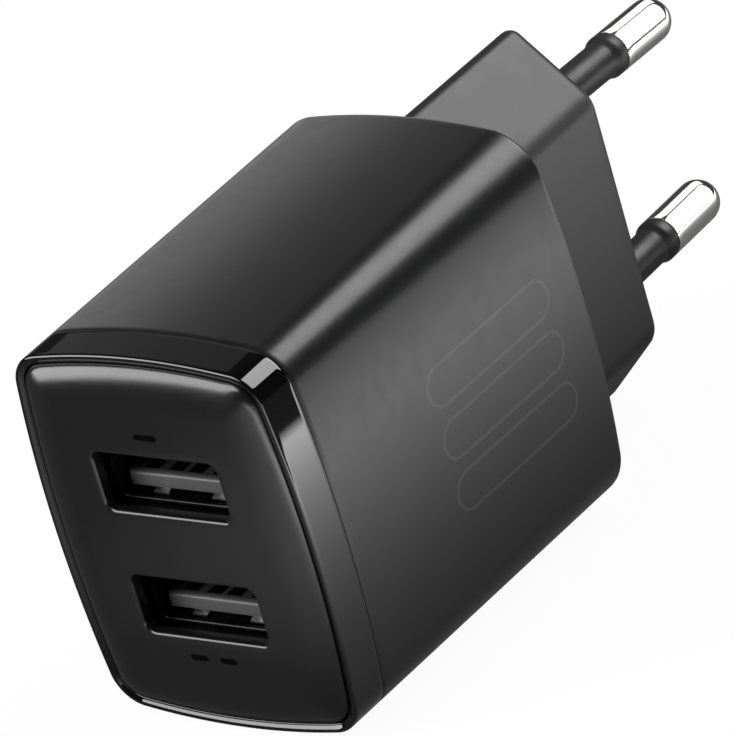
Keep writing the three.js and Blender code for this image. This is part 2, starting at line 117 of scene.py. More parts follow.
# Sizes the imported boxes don't show.
FRONT_WIDTH = 27.3
FRONT_HEIGHT = 34.6
FRONT_CORNER = 3.3
REAR_WIDTH = 28.5
REAR_HEIGHT = 36.0
REAR_CORNER = 5.1
SIDE_BOW = 106.0
TOP_BOW = 67.0
BODY_LENGTH = SEAT_Y - RIM_Y
WALL = 1.8
REAR_WALL = 2.0
NECK_HALF_WIDTH = 5.5
NECK_HALF_HEIGHT = 14.5
NECK_SLANT = 4.0
PLUG_HALF_WIDTH = 6.7
PLUG_HALF_HEIGHT = 17.6
PLUG_POINT_RADIUS = 1.1
PLUG_WALL = 1.4
PIN_SPACING = 18.6
PIN_LENGTH = 19.0
PIN_LEAN = math.atan(0.45 / PIN_LENGTH)
PIN_RADIUS = 2.0
SHANK_RADIUS = 1.25
SLEEVE_RADIUS = 1.7
SLEEVE_BORE = 1.4
SLEEVE_LENGTH = 11.0
MOUTH_WIDTH = 12.7
MOUTH_HEIGHT = 5.32
SHELL_INSIDE = (12.5, 5.12)
SHELL_WALL = 0.3
WINDOW_HALF_WIDTH = 1.15
TONGUE_LIFT = 0.7
TONGUE_THICKNESS = 1.84
TONGUE_DRAWN_THICKNESS = 1.45  # thinner than packed, so the opening shows dark above it
TONGUE_HALF_WIDTH = 5.55
TAB_X = 3.0
TAB_WIDTH = 1.6
TAB_THICKNESS = 0.25
CONTACT_X = (-3.5, -1.0, 1.0, 3.5)
CONTACT_WIDTH = 1.0
CONTACT_THICKNESS = 0.2


# ---- Sizes and colours a user would change ----


def colour(name, description, default):
    return bpy.props.FloatVectorProperty(
        name=name, description=description, subtype="COLOR", size=3, min=0.0, max=1.0, default=default
    )


def length(name, description, default):
    return bpy.props.FloatProperty(
        name=name, description=description, default=default * MM, min=0.0, subtype="DISTANCE", unit="LENGTH"
    )


def factor(name, description, default):
    return bpy.props.FloatProperty(
        name=name, description=description, default=default, min=0.0, max=1.0, subtype="FACTOR"
    )


class ChargerSizes(bpy.types.PropertyGroup):
    panel_inset: length("Panel inset", "Gap from the bezel's skin to the front panel", 0.88)
    lip: length("Rim width", "Width of the bezel's rim round the front panel", 0.8)
    mouth_corner: length("Socket corner", "Corner radius of a socket's opening", 0.8)
    mouth_depth: length("Socket depth", "Depth of the panel's wall in a socket", 1.1)
    housing_edge: length("Rear edge", "Rounding of the housing's rear edge", 0.45)
    plug_edge: length("Plug edge", "Rounding of the plug block's rear edge", 1.2)
    plug_corner: length("Plug corner", "Rounding of the plug block's long edges", 2.8)


class ChargerColours(bpy.types.PropertyGroup):
    housing: colour("Housing", "Satin plastic of the housing", (0.006, 0.0061, 0.0063))
    bezel: colour("Bezel", "Gloss plastic of the front band", (0.0008, 0.0008, 0.0008))
    panel: colour("Front panel", "Plastic of the front panel", (0.0042, 0.0042, 0.0044))
    plug: colour("Plug block", "Plastic of the plug block", (0.010, 0.0101, 0.0102))
    sleeve: colour("Pin sleeves", "Insulating plastic on the pins", (0.012, 0.012, 0.0122))
    pins: colour("Pins", "Plated metal of the pins", (0.92, 0.91, 0.89))
    shell: colour("Socket shells", "Plated steel of the sockets", (0.05, 0.05, 0.051))
    tabs: colour("Socket springs", "Spring steel of the retention tabs", (0.88, 0.88, 0.87))
    tongue: colour("Socket tongues", "Moulded tongue in each socket", (0.05, 0.05, 0.052))
    contacts: colour("Contacts", "Gilded contacts", (0.80, 0.58, 0.24))
    print_ink: colour("Printed marks", "Ink of the plain printed marks", (0.030, 0.030, 0.032))


# ---- Outlines, in millimetres, as functions of an array of turns from 0 to 1 ----


def body_outline(y, inset, turn):
    """Point of the body's outline at `y`, `inset` inside its skin, for each value of `turn`.

    The outline has four large arcs for the bowed sides, top and bottom, and a corner circle that
    touches a side arc and a top arc from inside. Each quarter of a turn is one quarter of the
    outline: its side arc, its corner arc and its top arc take up fixed shares of the quarter, and
    the other three quarters are its mirror images. `y` and `inset` may be arrays shaped like `turn`.
    """
    y, inset, turn = np.broadcast_arrays(
        np.asarray(y, float), np.asarray(inset, float), np.asarray(turn, float)
    )
    along = np.clip((y - RIM_Y) / BODY_LENGTH, 0.0, 1.0)
    half_width = (FRONT_WIDTH + (REAR_WIDTH - FRONT_WIDTH) * along) / 2 - inset
    half_height = (FRONT_HEIGHT + (REAR_HEIGHT - FRONT_HEIGHT) * along) / 2 - inset
    corner = np.maximum(FRONT_CORNER + (REAR_CORNER - FRONT_CORNER) * along - inset, 0.8)
    side_x = half_width - SIDE_BOW
    top_z = half_height - TOP_BOW
    from_side = SIDE_BOW - corner
    from_top = TOP_BOW - corner
    apart = np.hypot(side_x, top_z)
    run = (from_side**2 - from_top**2 + apart**2) / (2 * apart)
    rise = np.sqrt(from_side**2 - run**2)
    line_x, line_z = -side_x / apart, top_z / apart
    sign = np.where(line_x > 0, 1.0, -1.0)
    centre_x = side_x + line_x * run - line_z * rise * sign
    centre_z = line_z * run + line_x * rise * sign
    side_angle = np.arctan2(centre_z, centre_x - side_x)
    top_angle = np.arctan2(centre_z - top_z, centre_x)

    quarter = np.floor(turn * 4).astype(int) % 4
    part = turn * 4 - np.floor(turn * 4)
    part = np.where(quarter % 2 == 0, part, 1.0 - part)
    side_share, corner_share = 0.28, 0.44
    on_side = part <= side_share
    on_corner = (part > side_share) & (part < side_share + corner_share)
    side_at = side_angle * part / side_share
    corner_at = side_angle + (top_angle - side_angle) * (part - side_share) / corner_share
    top_share = 1.0 - side_share - corner_share
    top_at = top_angle + (math.pi / 2 - top_angle) * (part - side_share - corner_share) / top_share
    x = np.where(
        on_side,
        side_x + SIDE_BOW * np.cos(side_at),
        np.where(on_corner, centre_x + corner * np.cos(corner_at), TOP_BOW * np.cos(top_at)),
    )
    z = np.where(
        on_side,
        SIDE_BOW * np.sin(side_at),
        np.where(on_corner, centre_z + corner * np.sin(corner_at), top_z + TOP_BOW * np.sin(top_at)),
    )
    x = np.where((quarter == 1) | (quarter == 2), -x, x)
    z = np.where(quarter >= 2, -z, z)
    return x, z + MID_Z


def polygon_outline(corners, radii, steps):
    """Outline of a convex polygon with rounded corners, counter-clockwise, `steps` points a corner.

    Each corner becomes an arc of its own radius that touches both of the corner's sides, swept
    from the outward direction of the side before it to that of the side after it.
    """
    corners = np.asarray(corners, float)
    radii = np.broadcast_to(np.asarray(radii, float), (len(corners),))[:, None]
    ahead = np.roll(corners, -1, axis=0) - corners
    behind = corners - np.roll(corners, 1, axis=0)
    ahead /= np.linalg.norm(ahead, axis=1)[:, None]
    behind /= np.linalg.norm(behind, axis=1)[:, None]
    first = np.arctan2(-behind[:, 0], behind[:, 1])[:, None]
    sweep = np.arctan2(
        behind[:, 0] * ahead[:, 1] - behind[:, 1] * ahead[:, 0], (behind * ahead).sum(1)
    )[:, None]
    inward = ahead - behind
    inward /= np.linalg.norm(inward, axis=1)[:, None]
    centre = corners + inward * radii / np.cos(sweep / 2)
    angle = first + sweep * np.linspace(0.0, 1.0, steps)[None, :]
    x = centre[:, :1] + radii * np.cos(angle)
    z = centre[:, 1:] + radii * np.sin(angle)
    return x.ravel(), z.ravel()


def rounded_rectangle(width, height, radius, x, z, steps=7):
    """Counter-clockwise outline of a rounded rectangle centred on x, z."""
    right, top = width / 2, height / 2
    corners = [(right, -top), (right, top), (-right, top), (-right, -top)]
    across, up = polygon_outline(corners, radius, steps)
    return across + x, up + z


# ---- Surfaces ----


def grid_faces(rows, columns, wrap_columns=True, wrap_rows=False):
    """Quads between neighbouring points of a rows by columns grid, whole array at once."""
    row = np.arange(rows if wrap_rows else rows - 1)[:, None]
    column = np.arange(columns if wrap_columns else columns - 1)[None, :]
    next_row = (row + 1) % rows
    next_column = (column + 1) % columns
    faces = np.stack(
        [
            row * columns + column,
            row * columns + next_column,
            next_row * columns + next_column,
            next_row * columns + column,
        ],
        axis=-1,
    )
    return faces.reshape(-1, 4)


def make_piece(name, points, faces, body, slot, replaced, sharp_angle=35.0):
    """Mesh object at the origin from points in millimetres and quads, riding on a CAD body."""
    mesh = bpy.data.meshes.new(name)
    corners = np.asarray(points, float).reshape(-1, 3) * MM
    mesh.from_pydata(corners.tolist(), [], np.asarray(faces).tolist())
    finish_mesh(mesh)
    mesh.polygons.foreach_set("use_smooth", np.ones(len(mesh.polygons), bool))
    mesh.set_sharp_from_angle(angle=math.radians(sharp_angle))
    mesh.update()
    piece = bpy.data.objects.new(name, mesh)
    bpy.context.scene.collection.objects.link(piece)
    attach(piece, body)
    if replaced:
        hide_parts(*replaced)
    return piece


def finish_mesh(mesh):
    """Welds doubled points, drops faces without area and turns every face outwards."""
    work = bmesh.new()
    work.from_mesh(mesh)
    bmesh.ops.remove_doubles(work, verts=work.verts, dist=0.5e-6)
    bmesh.ops.dissolve_degenerate(work, edges=work.edges, dist=0.5e-7)
    bmesh.ops.recalc_face_normals(work, faces=work.faces)
    work.to_mesh(mesh)
    work.free()


def join_grids(parts):
    """Points and faces of several (points, faces) surfaces as one mesh."""
    points, faces, start = [], [], 0
    for part_points, part_faces in parts:
        points.append(part_points.reshape(-1, 3))
        faces.extend((np.asarray(part_faces) + start).tolist())
        start += len(points[-1])
    return np.concatenate(points), faces


def with_columns(x, y, z):
    return np.stack(np.broadcast_arrays(x, y, z), axis=-1)


def arc_profile(start_angle, end_angle, steps):
    """Cosine and sine of evenly spaced angles in degrees."""
    angle = np.radians(np.linspace(start_angle, end_angle, steps))
    return np.cos(angle), np.sin(angle)


# ---- Casing ----

OUTLINE_POINTS = 192


def body_rings(profile):
    """Rings of the body's outline, one for each (y, inset) pair of the profile."""
    profile = np.asarray(profile, float)
    turn = np.arange(OUTLINE_POINTS)[None, :] / OUTLINE_POINTS
    x, z = body_outline(profile[:, :1], profile[:, 1:], turn)
    return with_columns(x, profile[:, :1], z)


def neck_outline(grow):
    """The octagonal hole in the housing's rear wall, as points that follow the body's outline."""
    half_width, half_height = NECK_HALF_WIDTH + grow, NECK_HALF_HEIGHT + grow
    turn = np.arange(OUTLINE_POINTS) / OUTLINE_POINTS
    x, z = body_outline(SEAT_Y, 0.0, turn)
    angle = np.arctan2((z - MID_Z) / half_height, x / half_width)
    across, up = np.abs(np.cos(angle)) * half_width, np.abs(np.sin(angle)) * half_height
    reach = np.maximum(
        np.maximum(across / half_width, up / half_height),
        (across + up) / (half_width + half_height - NECK_SLANT),
    )
    return np.cos(angle) * half_width / reach, np.sin(angle) * half_height / reach


def housing_surface(edge):
    """A closed sleeve: the body's outline carried from the seam to the rear edge, round that edge,
    in across the rear face to the neck's hole, and back along the inside to the seam."""
    cosine, sine = arc_profile(0, 90, 6)
    outer = [(SEAM_Y, 0.14), (SEAM_Y + 0.03, 0.05), (SEAM_Y + 0.12, 0.0)]
    outer += [(y, 0.0) for y in np.linspace(SEAM_Y + 0.6, SEAT_Y - edge - 0.3, 14)]
    outer += [(SEAT_Y - edge + edge * s, edge - edge * c) for c, s in zip(cosine, sine)]
    outer += [(SEAT_Y, edge + 0.4)]
    wall_y = SEAT_Y - REAR_WALL
    inner = [(wall_y, WALL + 1.4), (wall_y, WALL), (wall_y - 0.6, WALL)]
    inner += [(y, WALL) for y in np.linspace(SEAT_Y - 8, SEAM_Y + 0.4, 5)]
    inner += [(SEAM_Y, WALL), (SEAM_Y, 1.2)]
    neck_x, neck_z = neck_outline(0.2)
    neck = np.stack([with_columns(neck_x, y, neck_z) for y in (SEAT_Y, SEAT_Y - 1.0, wall_y)])
    points = np.concatenate([body_rings(outer), neck, body_rings(inner)])
    return points, grid_faces(len(points), OUTLINE_POINTS, wrap_rows=True)


def bezel_surface(lip):
    """A closed band: the outline carried along the band's skin, round the rim's outer edge, across
    the rim, round its inner edge, back down the panel's seat and in behind the seam."""
    cosine, sine = arc_profile(0, 90, 7)
    edge, inner_edge = 0.24, 0.1
    skin = [(SEAM_Y, 1.6), (SEAM_Y, 0.16), (SEAM_Y - 0.03, 0.05), (SEAM_Y - 0.12, 0.0)]
    skin += [(y, 0.0) for y in np.linspace(SEAM_Y - 0.4, RIM_Y + edge + 0.25, 7)]
    rim = [(RIM_Y + edge - edge * s, edge - edge * c) for c, s in zip(cosine, sine)]
    slope = 0.22
    rim += [(RIM_Y + 0.03, edge + 0.12), (RIM_Y + 0.07, edge + 0.22)]
    rim += [(RIM_Y + slope - 0.04, lip - inner_edge - 0.1)]
    rim += [
        (RIM_Y + slope + inner_edge - inner_edge * s, lip - inner_edge + inner_edge * c)
        for c, s in zip(cosine[::-1], sine[::-1])
    ]
    seat = [(RIM_Y + 1.1, lip), (LEDGE_Y, lip), (LEDGE_Y, 3.0)]
    back = [(SEAM_Y + 2.6, 3.0), (SEAM_Y + 2.6, 2.0), (SEAM_Y + 0.1, 2.0)]
    points = body_rings(skin + rim + seat + back)
    return points, grid_faces(len(points), OUTLINE_POINTS, wrap_rows=True)


# ---- Front panel ----

PANEL_CROWN_WIDTH = 3.4
PANEL_CROWN_DROP = 1.1
MOUTH_ROUNDING = 0.3
POCKET_GROWTH = 0.95  # the pocket behind an opening leaves the springs room to bend outwards


def loop_points(loop, centre_z, angles):
    """Points of a closed loop seen from (0, centre_z) in the directions `angles`."""
    loop_x, loop_z = loop
    seen = np.arctan2(loop_z - centre_z, loop_x)
    full = 2 * math.pi
    return np.interp(angles, seen, loop_x, period=full), np.interp(angles, seen, loop_z, period=full)


def depth_inside(outline, points):
    """Distance of each point inside a closed outline, measured along the outline's own normal at
    its nearest point, so it is exact on the outline."""
    run = np.roll(outline, -1, axis=0) - np.roll(outline, 1, axis=0)
    normal = np.stack([-run[:, 1], run[:, 0]], -1) / np.linalg.norm(run, axis=1)[:, None]
    flat = points.reshape(-1, 2)
    depths = []
    for block in np.array_split(flat, 24):
        offset = block[:, None, :] - outline[None, :, :]
        nearest = (offset**2).sum(-1).argmin(1)
        chosen = offset[np.arange(len(block)), nearest]
        depths.append(np.maximum((chosen * normal[nearest]).sum(-1), 0.0))
    return np.concatenate(depths).reshape(points.shape[:-1])


def panel_half(side, centre_z, inset, mouth_corner, mouth_depth):
    """Upper (side 1) or lower (side -1) half of the front panel, cut level through its middle.

    Columns are directions round the socket's middle and rows run along each of them: over the
    crowned face from the outline to the socket, round the opening's edge, back along its wall, out
    to the wider pocket and back to the panel's rear. The face lies deeper by a quarter ellipse of
    the distance to the outline. A second strip carries the outline back to the rear.
    """
    turn = np.arange(4096) / 4096
    rim_x, rim_z = body_outline(RIM_Y, inset, turn)
    above = side * (rim_z - MID_Z) > 1e-6
    end_x = body_outline(RIM_Y, inset, 0.0)[0]
    cut_x = np.linspace(-end_x, end_x, 801)
    half = (np.concatenate([rim_x[above], cut_x]), np.concatenate([rim_z[above], np.full(801, MID_Z)]))

    def opening(grow, corner):
        size = (MOUTH_WIDTH + 2 * grow, MOUTH_HEIGHT + 2 * grow)
        return rounded_rectangle(*size, corner + grow, 0.0, centre_z, steps=25)

    mouth = rounded_rectangle(MOUTH_WIDTH, MOUTH_HEIGHT, mouth_corner, 0.0, centre_z, steps=9)
    near_end = end_x - 4.2 * np.linspace(0.0, 1.0, 18) ** 1.6
    corner_at = np.arctan2(MID_Z - centre_z, np.concatenate([near_end, -near_end]))
    mouth_at = np.arctan2(mouth[1] - centre_z, mouth[0])
    angles = np.concatenate([mouth_at, np.linspace(-math.pi, math.pi, 150)[:-1], corner_at])
    angles = np.unique(np.round(angles, 7))
    outer_x, outer_z = loop_points(half, centre_z, angles)
    on_rim = np.abs(outer_z - MID_Z) > 1e-5
    on_rim |= np.abs(np.abs(outer_x) - end_x) < 1e-4
    inner_x, inner_z = loop_points(opening(MOUTH_ROUNDING, mouth_corner), centre_z, angles)
    share = (np.linspace(0.0, 1.0, 26) ** 2)[:, None]
    face_x = outer_x + (inner_x - outer_x) * share
    face_z = outer_z + (inner_z - outer_z) * share
    depth = depth_inside(np.stack([rim_x, rim_z], -1), np.stack([face_x, face_z], -1))
    depth[0] = np.where(on_rim, 0.0, depth[0])
    depth = np.clip(1.0 - depth / PANEL_CROWN_WIDTH, 0.0, 1.0)
    face_y = FACE_Y + PANEL_CROWN_DROP * (1.0 - np.sqrt(1.0 - depth**2))
    rows = [with_columns(face_x, face_y, face_z)]
    cosine, sine = arc_profile(0, 90, 6)
    rounding = (MOUTH_ROUNDING * (1 - sine[1:]), FACE_Y + MOUTH_ROUNDING * (1 - cosine[1:]))
    for grow, y in zip(*rounding):
        x, z = loop_points(opening(grow, mouth_corner), centre_z, angles)
        rows.append(with_columns(x, y, z)[None])
    back_y = FACE_Y + mouth_depth
    pocket = [(0.0, back_y - 0.06), (0.06, back_y), (POCKET_GROWTH, back_y), (POCKET_GROWTH, LEDGE_Y)]
    for grow, y in pocket:
        x, z = loop_points(opening(grow, mouth_corner - 0.3), centre_z, angles)
        rows.append(with_columns(x, y, z)[None])
    rows.append(with_columns(outer_x, LEDGE_Y, outer_z)[None])
    points = np.concatenate(rows)
    grid = (points, grid_faces(len(points), len(angles)))

    around = np.argsort(np.arctan2(side * (outer_z[on_rim] - MID_Z), outer_x[on_rim]))
    edge_x, edge_z = outer_x[on_rim][around], outer_z[on_rim][around]
    edge_y = FACE_Y + PANEL_CROWN_DROP
    strip = np.stack([with_columns(edge_x, y, edge_z) for y in (edge_y, edge_y + 0.5, LEDGE_Y)])
    return [grid, (strip, grid_faces(3, len(edge_x), wrap_columns=False))]


# ---- Plug block and pins ----


def plug_half_outline(side, grow, corner):
    """Half of the plug block's outline from its right to its left at z 0: a flat side, a rounded
    shoulder, a slant, the blunt tip, and the same again; straight runs are cut into equal parts."""
    half_width = PLUG_HALF_WIDTH + grow
    point = PLUG_HALF_HEIGHT + PLUG_POINT_RADIUS * (math.sqrt(2.0) - 1.0) + grow * math.sqrt(2.0)
    shoulder = point - half_width
    corners = [(half_width, -shoulder), (half_width, shoulder), (0.0, point)]
    corners += [(-half_width, shoulder), (-half_width, -shoulder), (0.0, -point)]
    steps = 9
    shoulder_radius = max(corner + grow, 0.3)
    point_radius = max(PLUG_POINT_RADIUS + grow, 0.3)
    x, z = polygon_outline(corners, [shoulder_radius, shoulder_radius, point_radius] * 2, steps)
    knots = np.stack([x, z], -1)[steps : 4 * steps]
    knots = np.concatenate([[(half_width, 0.0)], knots, [(-half_width, 0.0)]])
    cuts = np.ones(len(knots) - 1, int)
    cuts[[0, steps, 2 * steps, 3 * steps]] = (5, 5, 5, 5)
    where = np.concatenate([np.arange(n) / n + i for i, n in enumerate(cuts)] + [[len(cuts)]])
    base = np.minimum(where.astype(int), len(cuts) - 1)
    part = (where - base)[:, None]
    outline = knots[base] * (1 - part) + knots[base + 1] * part
    return outline * (1.0, side)


def plug_half(side, edge, corner, hole_radius):
    """Upper or lower half of the plug block's skin, cut level through its middle.

    The rear face runs straight from its outline and the cut to the round hole of the pin; a strip
    carries the outline forward: a quarter circle round the rear edge, then along Y to the housing,
    and a little way in under it.
    """
    centre = np.array([0.0, side * PIN_SPACING / 2])
    face_outline = plug_half_outline(side, -edge, corner)
    cut_x = np.linspace(face_outline[-1, 0], face_outline[0, 0], 26)[1:-1]
    outer = np.concatenate([face_outline, np.stack([cut_x, np.zeros(len(cut_x))], -1)])
    spoke = outer - centre
    hole = centre + spoke / np.linalg.norm(spoke, axis=1)[:, None] * hole_radius
    rows = []
    for share in (0.0, 0.06, 0.35, 0.7, 0.9):
        ring = outer + (hole - outer) * share
        rows.append(with_columns(ring[:, 0], PLUG_FACE_Y, ring[:, 1]))
    for grow, y in ((0.1, 0.0), (0.03, 0.03), (0.0, 0.1), (0.0, 1.6)):
        ring = centre + (hole - centre) * (1 + grow / hole_radius)
        rows.append(with_columns(ring[:, 0], PLUG_FACE_Y - y, ring[:, 1]))
    face = np.stack(rows)
    cosine, sine = arc_profile(90, 0, 7)
    profile = [(PLUG_FACE_Y - edge + edge * s, edge * c - edge) for c, s in zip(cosine, sine)]
    profile += [(y, 0.0) for y in np.linspace(PLUG_FACE_Y - edge - 0.5, SEAT_Y + 0.4, 9)]
    profile += [(SEAT_Y + 0.06, -0.02), (SEAT_Y, -0.12), (SEAT_Y, -1.6)]
    strip = []
    for y, grow in profile:
        x, z = plug_half_outline(side, grow, corner).T
        strip.append(with_columns(x, y, z))
    strip = np.stack(strip)
    return [
        (face, grid_faces(len(face), face.shape[1])),
        (strip, grid_faces(len(strip), strip.shape[1], wrap_columns=False)),
    ]


def lean(points, side):
    """Turns points made about the Y axis by the pins' lean and moves them to a pin's place."""
    cosine, sine = math.cos(-side * PIN_LEAN), math.sin(-side * PIN_LEAN)
    x, y, z = np.moveaxis(points, -1, 0)
    return np.stack([x, y * cosine - z * sine, y * sine + z * cosine + side * PIN_SPACING / 2], -1)


def turned_surface(profile, side, segments=96):
    """A (radius, y) profile carried round the Y axis; its ends lie on the axis or meet."""
    profile = np.asarray(profile, float)
    closed = np.allclose(profile[0], profile[-1])
    if closed:
        profile = profile[:-1]
    angle = np.arange(segments)[None, :] * 2 * math.pi / segments
    radius, y = profile[:, :1], profile[:, 1:]
    points = with_columns(radius * np.cos(angle), y, radius * np.sin(angle))
    return lean(points, side), grid_faces(len(profile), segments, wrap_rows=closed)


def pin_profile():
    """Shank hidden in the sleeve, a collar face, a straight barrel and a domed end."""
    cosine, sine = arc_profile(0, 90, 14)
    profile = [(0.0, -10.0), (1.1, -10.0), (1.1, -5.2), (2.4, -5.2), (2.4, -3.8)]
    profile += [(SHANK_RADIUS, -3.8), (SHANK_RADIUS, SLEEVE_LENGTH + 0.02)]
    start = [(0.1, 0.02), (0.02, 0.05), (0.0, 0.12), (0.0, 0.8), (0.0, 3.0), (0.0, 5.2)]
    profile += [(PIN_RADIUS - inset, SLEEVE_LENGTH + rise) for inset, rise in start]
    dome_y = PIN_LENGTH - PIN_RADIUS
    profile += [(PIN_RADIUS * c, dome_y + PIN_RADIUS * s) for c, s in zip(cosine, sine)]
    return profile


def sleeve_profile():
    """Straight insulating tube that flares to the pin's full diameter at its outer end."""
    shares = np.linspace(0.0, 1.0, 7)
    widen = PIN_RADIUS - SLEEVE_RADIUS
    tube = [(SLEEVE_BORE, -3.4)] + [(SLEEVE_RADIUS, y) for y in (-3.4, -0.2, 3.0, 7.0)]
    flare = [(SLEEVE_RADIUS + widen * (3 * u**2 - 2 * u**3), 9.35 + 0.85 * u) for u in shares]
    end = [(PIN_RADIUS, SLEEVE_LENGTH - 0.14), (PIN_RADIUS - 0.04, SLEEVE_LENGTH - 0.03)]
    end += [(PIN_RADIUS - 0.14, SLEEVE_LENGTH), (SLEEVE_BORE, SLEEVE_LENGTH), (SLEEVE_BORE, -3.4)]
    return tube + flare + end


# ---- Socket parts ----


def leaf_surface(path, thickness, width, x, ease=0.06):
    """A leaf spring: a rounded flat section carried along a smooth path in the YZ plane.

    The path's corners are eased by sampling a smooth curve through them, and the section's four
    corners are small quarter circles.
    """
    path = np.asarray(path, float)
    along = np.concatenate([[0.0], np.cumsum(np.linalg.norm(np.diff(path, axis=0), axis=1))])
    at = np.linspace(0.0, along[-1], 41)
    y = smooth_through(along, path[:, 0], at)
    z = smooth_through(along, path[:, 1], at)
    run_y, run_z = np.gradient(y), np.gradient(z)
    size = np.hypot(run_y, run_z)
    normal_y, normal_z = -run_z / size, run_y / size
    across, out = rounded_rectangle(width, thickness, ease, 0.0, 0.0, steps=4)
    points = with_columns(
        x + across[None, :],
        y[:, None] + normal_y[:, None] * out[None, :],
        z[:, None] + normal_z[:, None] * out[None, :],
    )
    return capped(points)


def smooth_through(where, values, at):
    """Cubic through the values with slopes taken from their neighbours."""
    slope = np.gradient(values, where)
    base = np.clip(np.searchsorted(where, at, side="right") - 1, 0, len(where) - 2)
    span = where[base + 1] - where[base]
    u = (at - where[base]) / span
    return (
        values[base] * (2 * u**3 - 3 * u**2 + 1)
        + slope[base] * span * (u**3 - 2 * u**2 + u)
        + values[base + 1] * (3 * u**2 - 2 * u**3)
        + slope[base + 1] * span * (u**3 - u**2)
    )


def shell_surface(centre_z):
    """A folded metal box: a rounded outline carried along Y, outside and inside, with two windows
    left out of its floor and two out of its roof. The windows' cut faces join the skins."""
    inside_width, inside_height = SHELL_INSIDE
    corner = 0.5
    half_width = inside_width / 2
    straight = half_width - corner
    edges = [x + side * WINDOW_HALF_WIDTH for x in (-TAB_X, TAB_X) for side in (-1, 1)]
    fill = np.linspace(-straight, straight, 41)
    flat = np.unique(np.round(np.concatenate([fill, edges]), 6))
    cosine, sine = arc_profile(0, 90, 6)
    half_height = inside_height / 2
    side_z = np.linspace(corner - half_height, half_height - corner, 7)

    def loop(grow):
        """Counter-clockwise from the lower right, point for point alike for each `grow`."""
        radius = corner + grow
        right = half_width + grow
        quarter_x, quarter_z = radius * cosine[1:-1], radius * sine[1:-1]
        level = half_height - corner
        x = [np.full(len(side_z), right), straight + quarter_x, flat[::-1], -straight - quarter_x[::-1]]
        z = [side_z, level + quarter_z, np.full(len(flat), half_height + grow), level + quarter_z[::-1]]
        x, z = np.concatenate(x), np.concatenate(z)
        return np.concatenate([x, -x]), np.concatenate([z, -z]) + centre_z

    window_y = (SHELL_Y + 0.5, SHELL_Y + 6.6)
    behind_y = np.linspace(window_y[1], SHELL_END_Y, 7)
    rows_y = np.concatenate([[SHELL_Y, SHELL_Y + 0.06], np.linspace(*window_y, 15), behind_y])
    rows_y = np.unique(np.round(rows_y, 6))
    skins = []
    for grow in (SHELL_WALL, 0.0):
        x, z = loop(grow)
        skin = with_columns(x[None, :], rows_y[:, None], z[None, :])
        lip = (rows_y == rows_y[0])[:, None]
        shift = 0.05 if grow else -0.05
        skin[..., 2] -= np.where(lip, np.sign(skin[..., 2] - centre_z) * shift, 0.0)
        skins.append(skin)
    count = skins[0].shape[1]
    base_x, base_z = loop(0.0)
    on_flat = np.round(np.abs(base_z - centre_z), 6) == round(half_height, 6)
    next_x, next_flat = np.roll(base_x, -1), np.roll(on_flat, -1)
    middle_x = (base_x + next_x) / 2
    over_window = on_flat & next_flat & (np.abs(np.abs(middle_x) - TAB_X) < WINDOW_HALF_WIDTH)
    middle_y = (rows_y[:-1] + rows_y[1:]) / 2
    in_window = (middle_y > window_y[0]) & (middle_y < window_y[1])
    gone = (in_window[:, None] & over_window[None, :]).reshape(-1)
    faces = grid_faces(len(rows_y), count)
    kept = faces[~gone]
    total = len(rows_y) * count
    pairs = np.concatenate([kept[:, [0, 1]], kept[:, [1, 2]], kept[:, [2, 3]], kept[:, [3, 0]]])
    order = np.sort(pairs, axis=1)
    first, times = np.unique(order, axis=0, return_index=True, return_counts=True)[1:]
    rims = pairs[first[times == 1]]
    walls = np.stack([rims[:, 1], rims[:, 0], rims[:, 0] + total, rims[:, 1] + total], -1)
    points = np.concatenate([skin.reshape(-1, 3) for skin in skins])
    return points, np.concatenate([kept, kept[:, ::-1] + total, walls])


def capped(rows):
    """Rows of a closed loop with each end drawn together to its middle point."""
    ends = [np.broadcast_to(rows[i].mean(0), rows[i].shape)[None] for i in (0, -1)]
    points = np.concatenate([ends[0], rows, ends[1]])
    return points, grid_faces(len(points), points.shape[1])


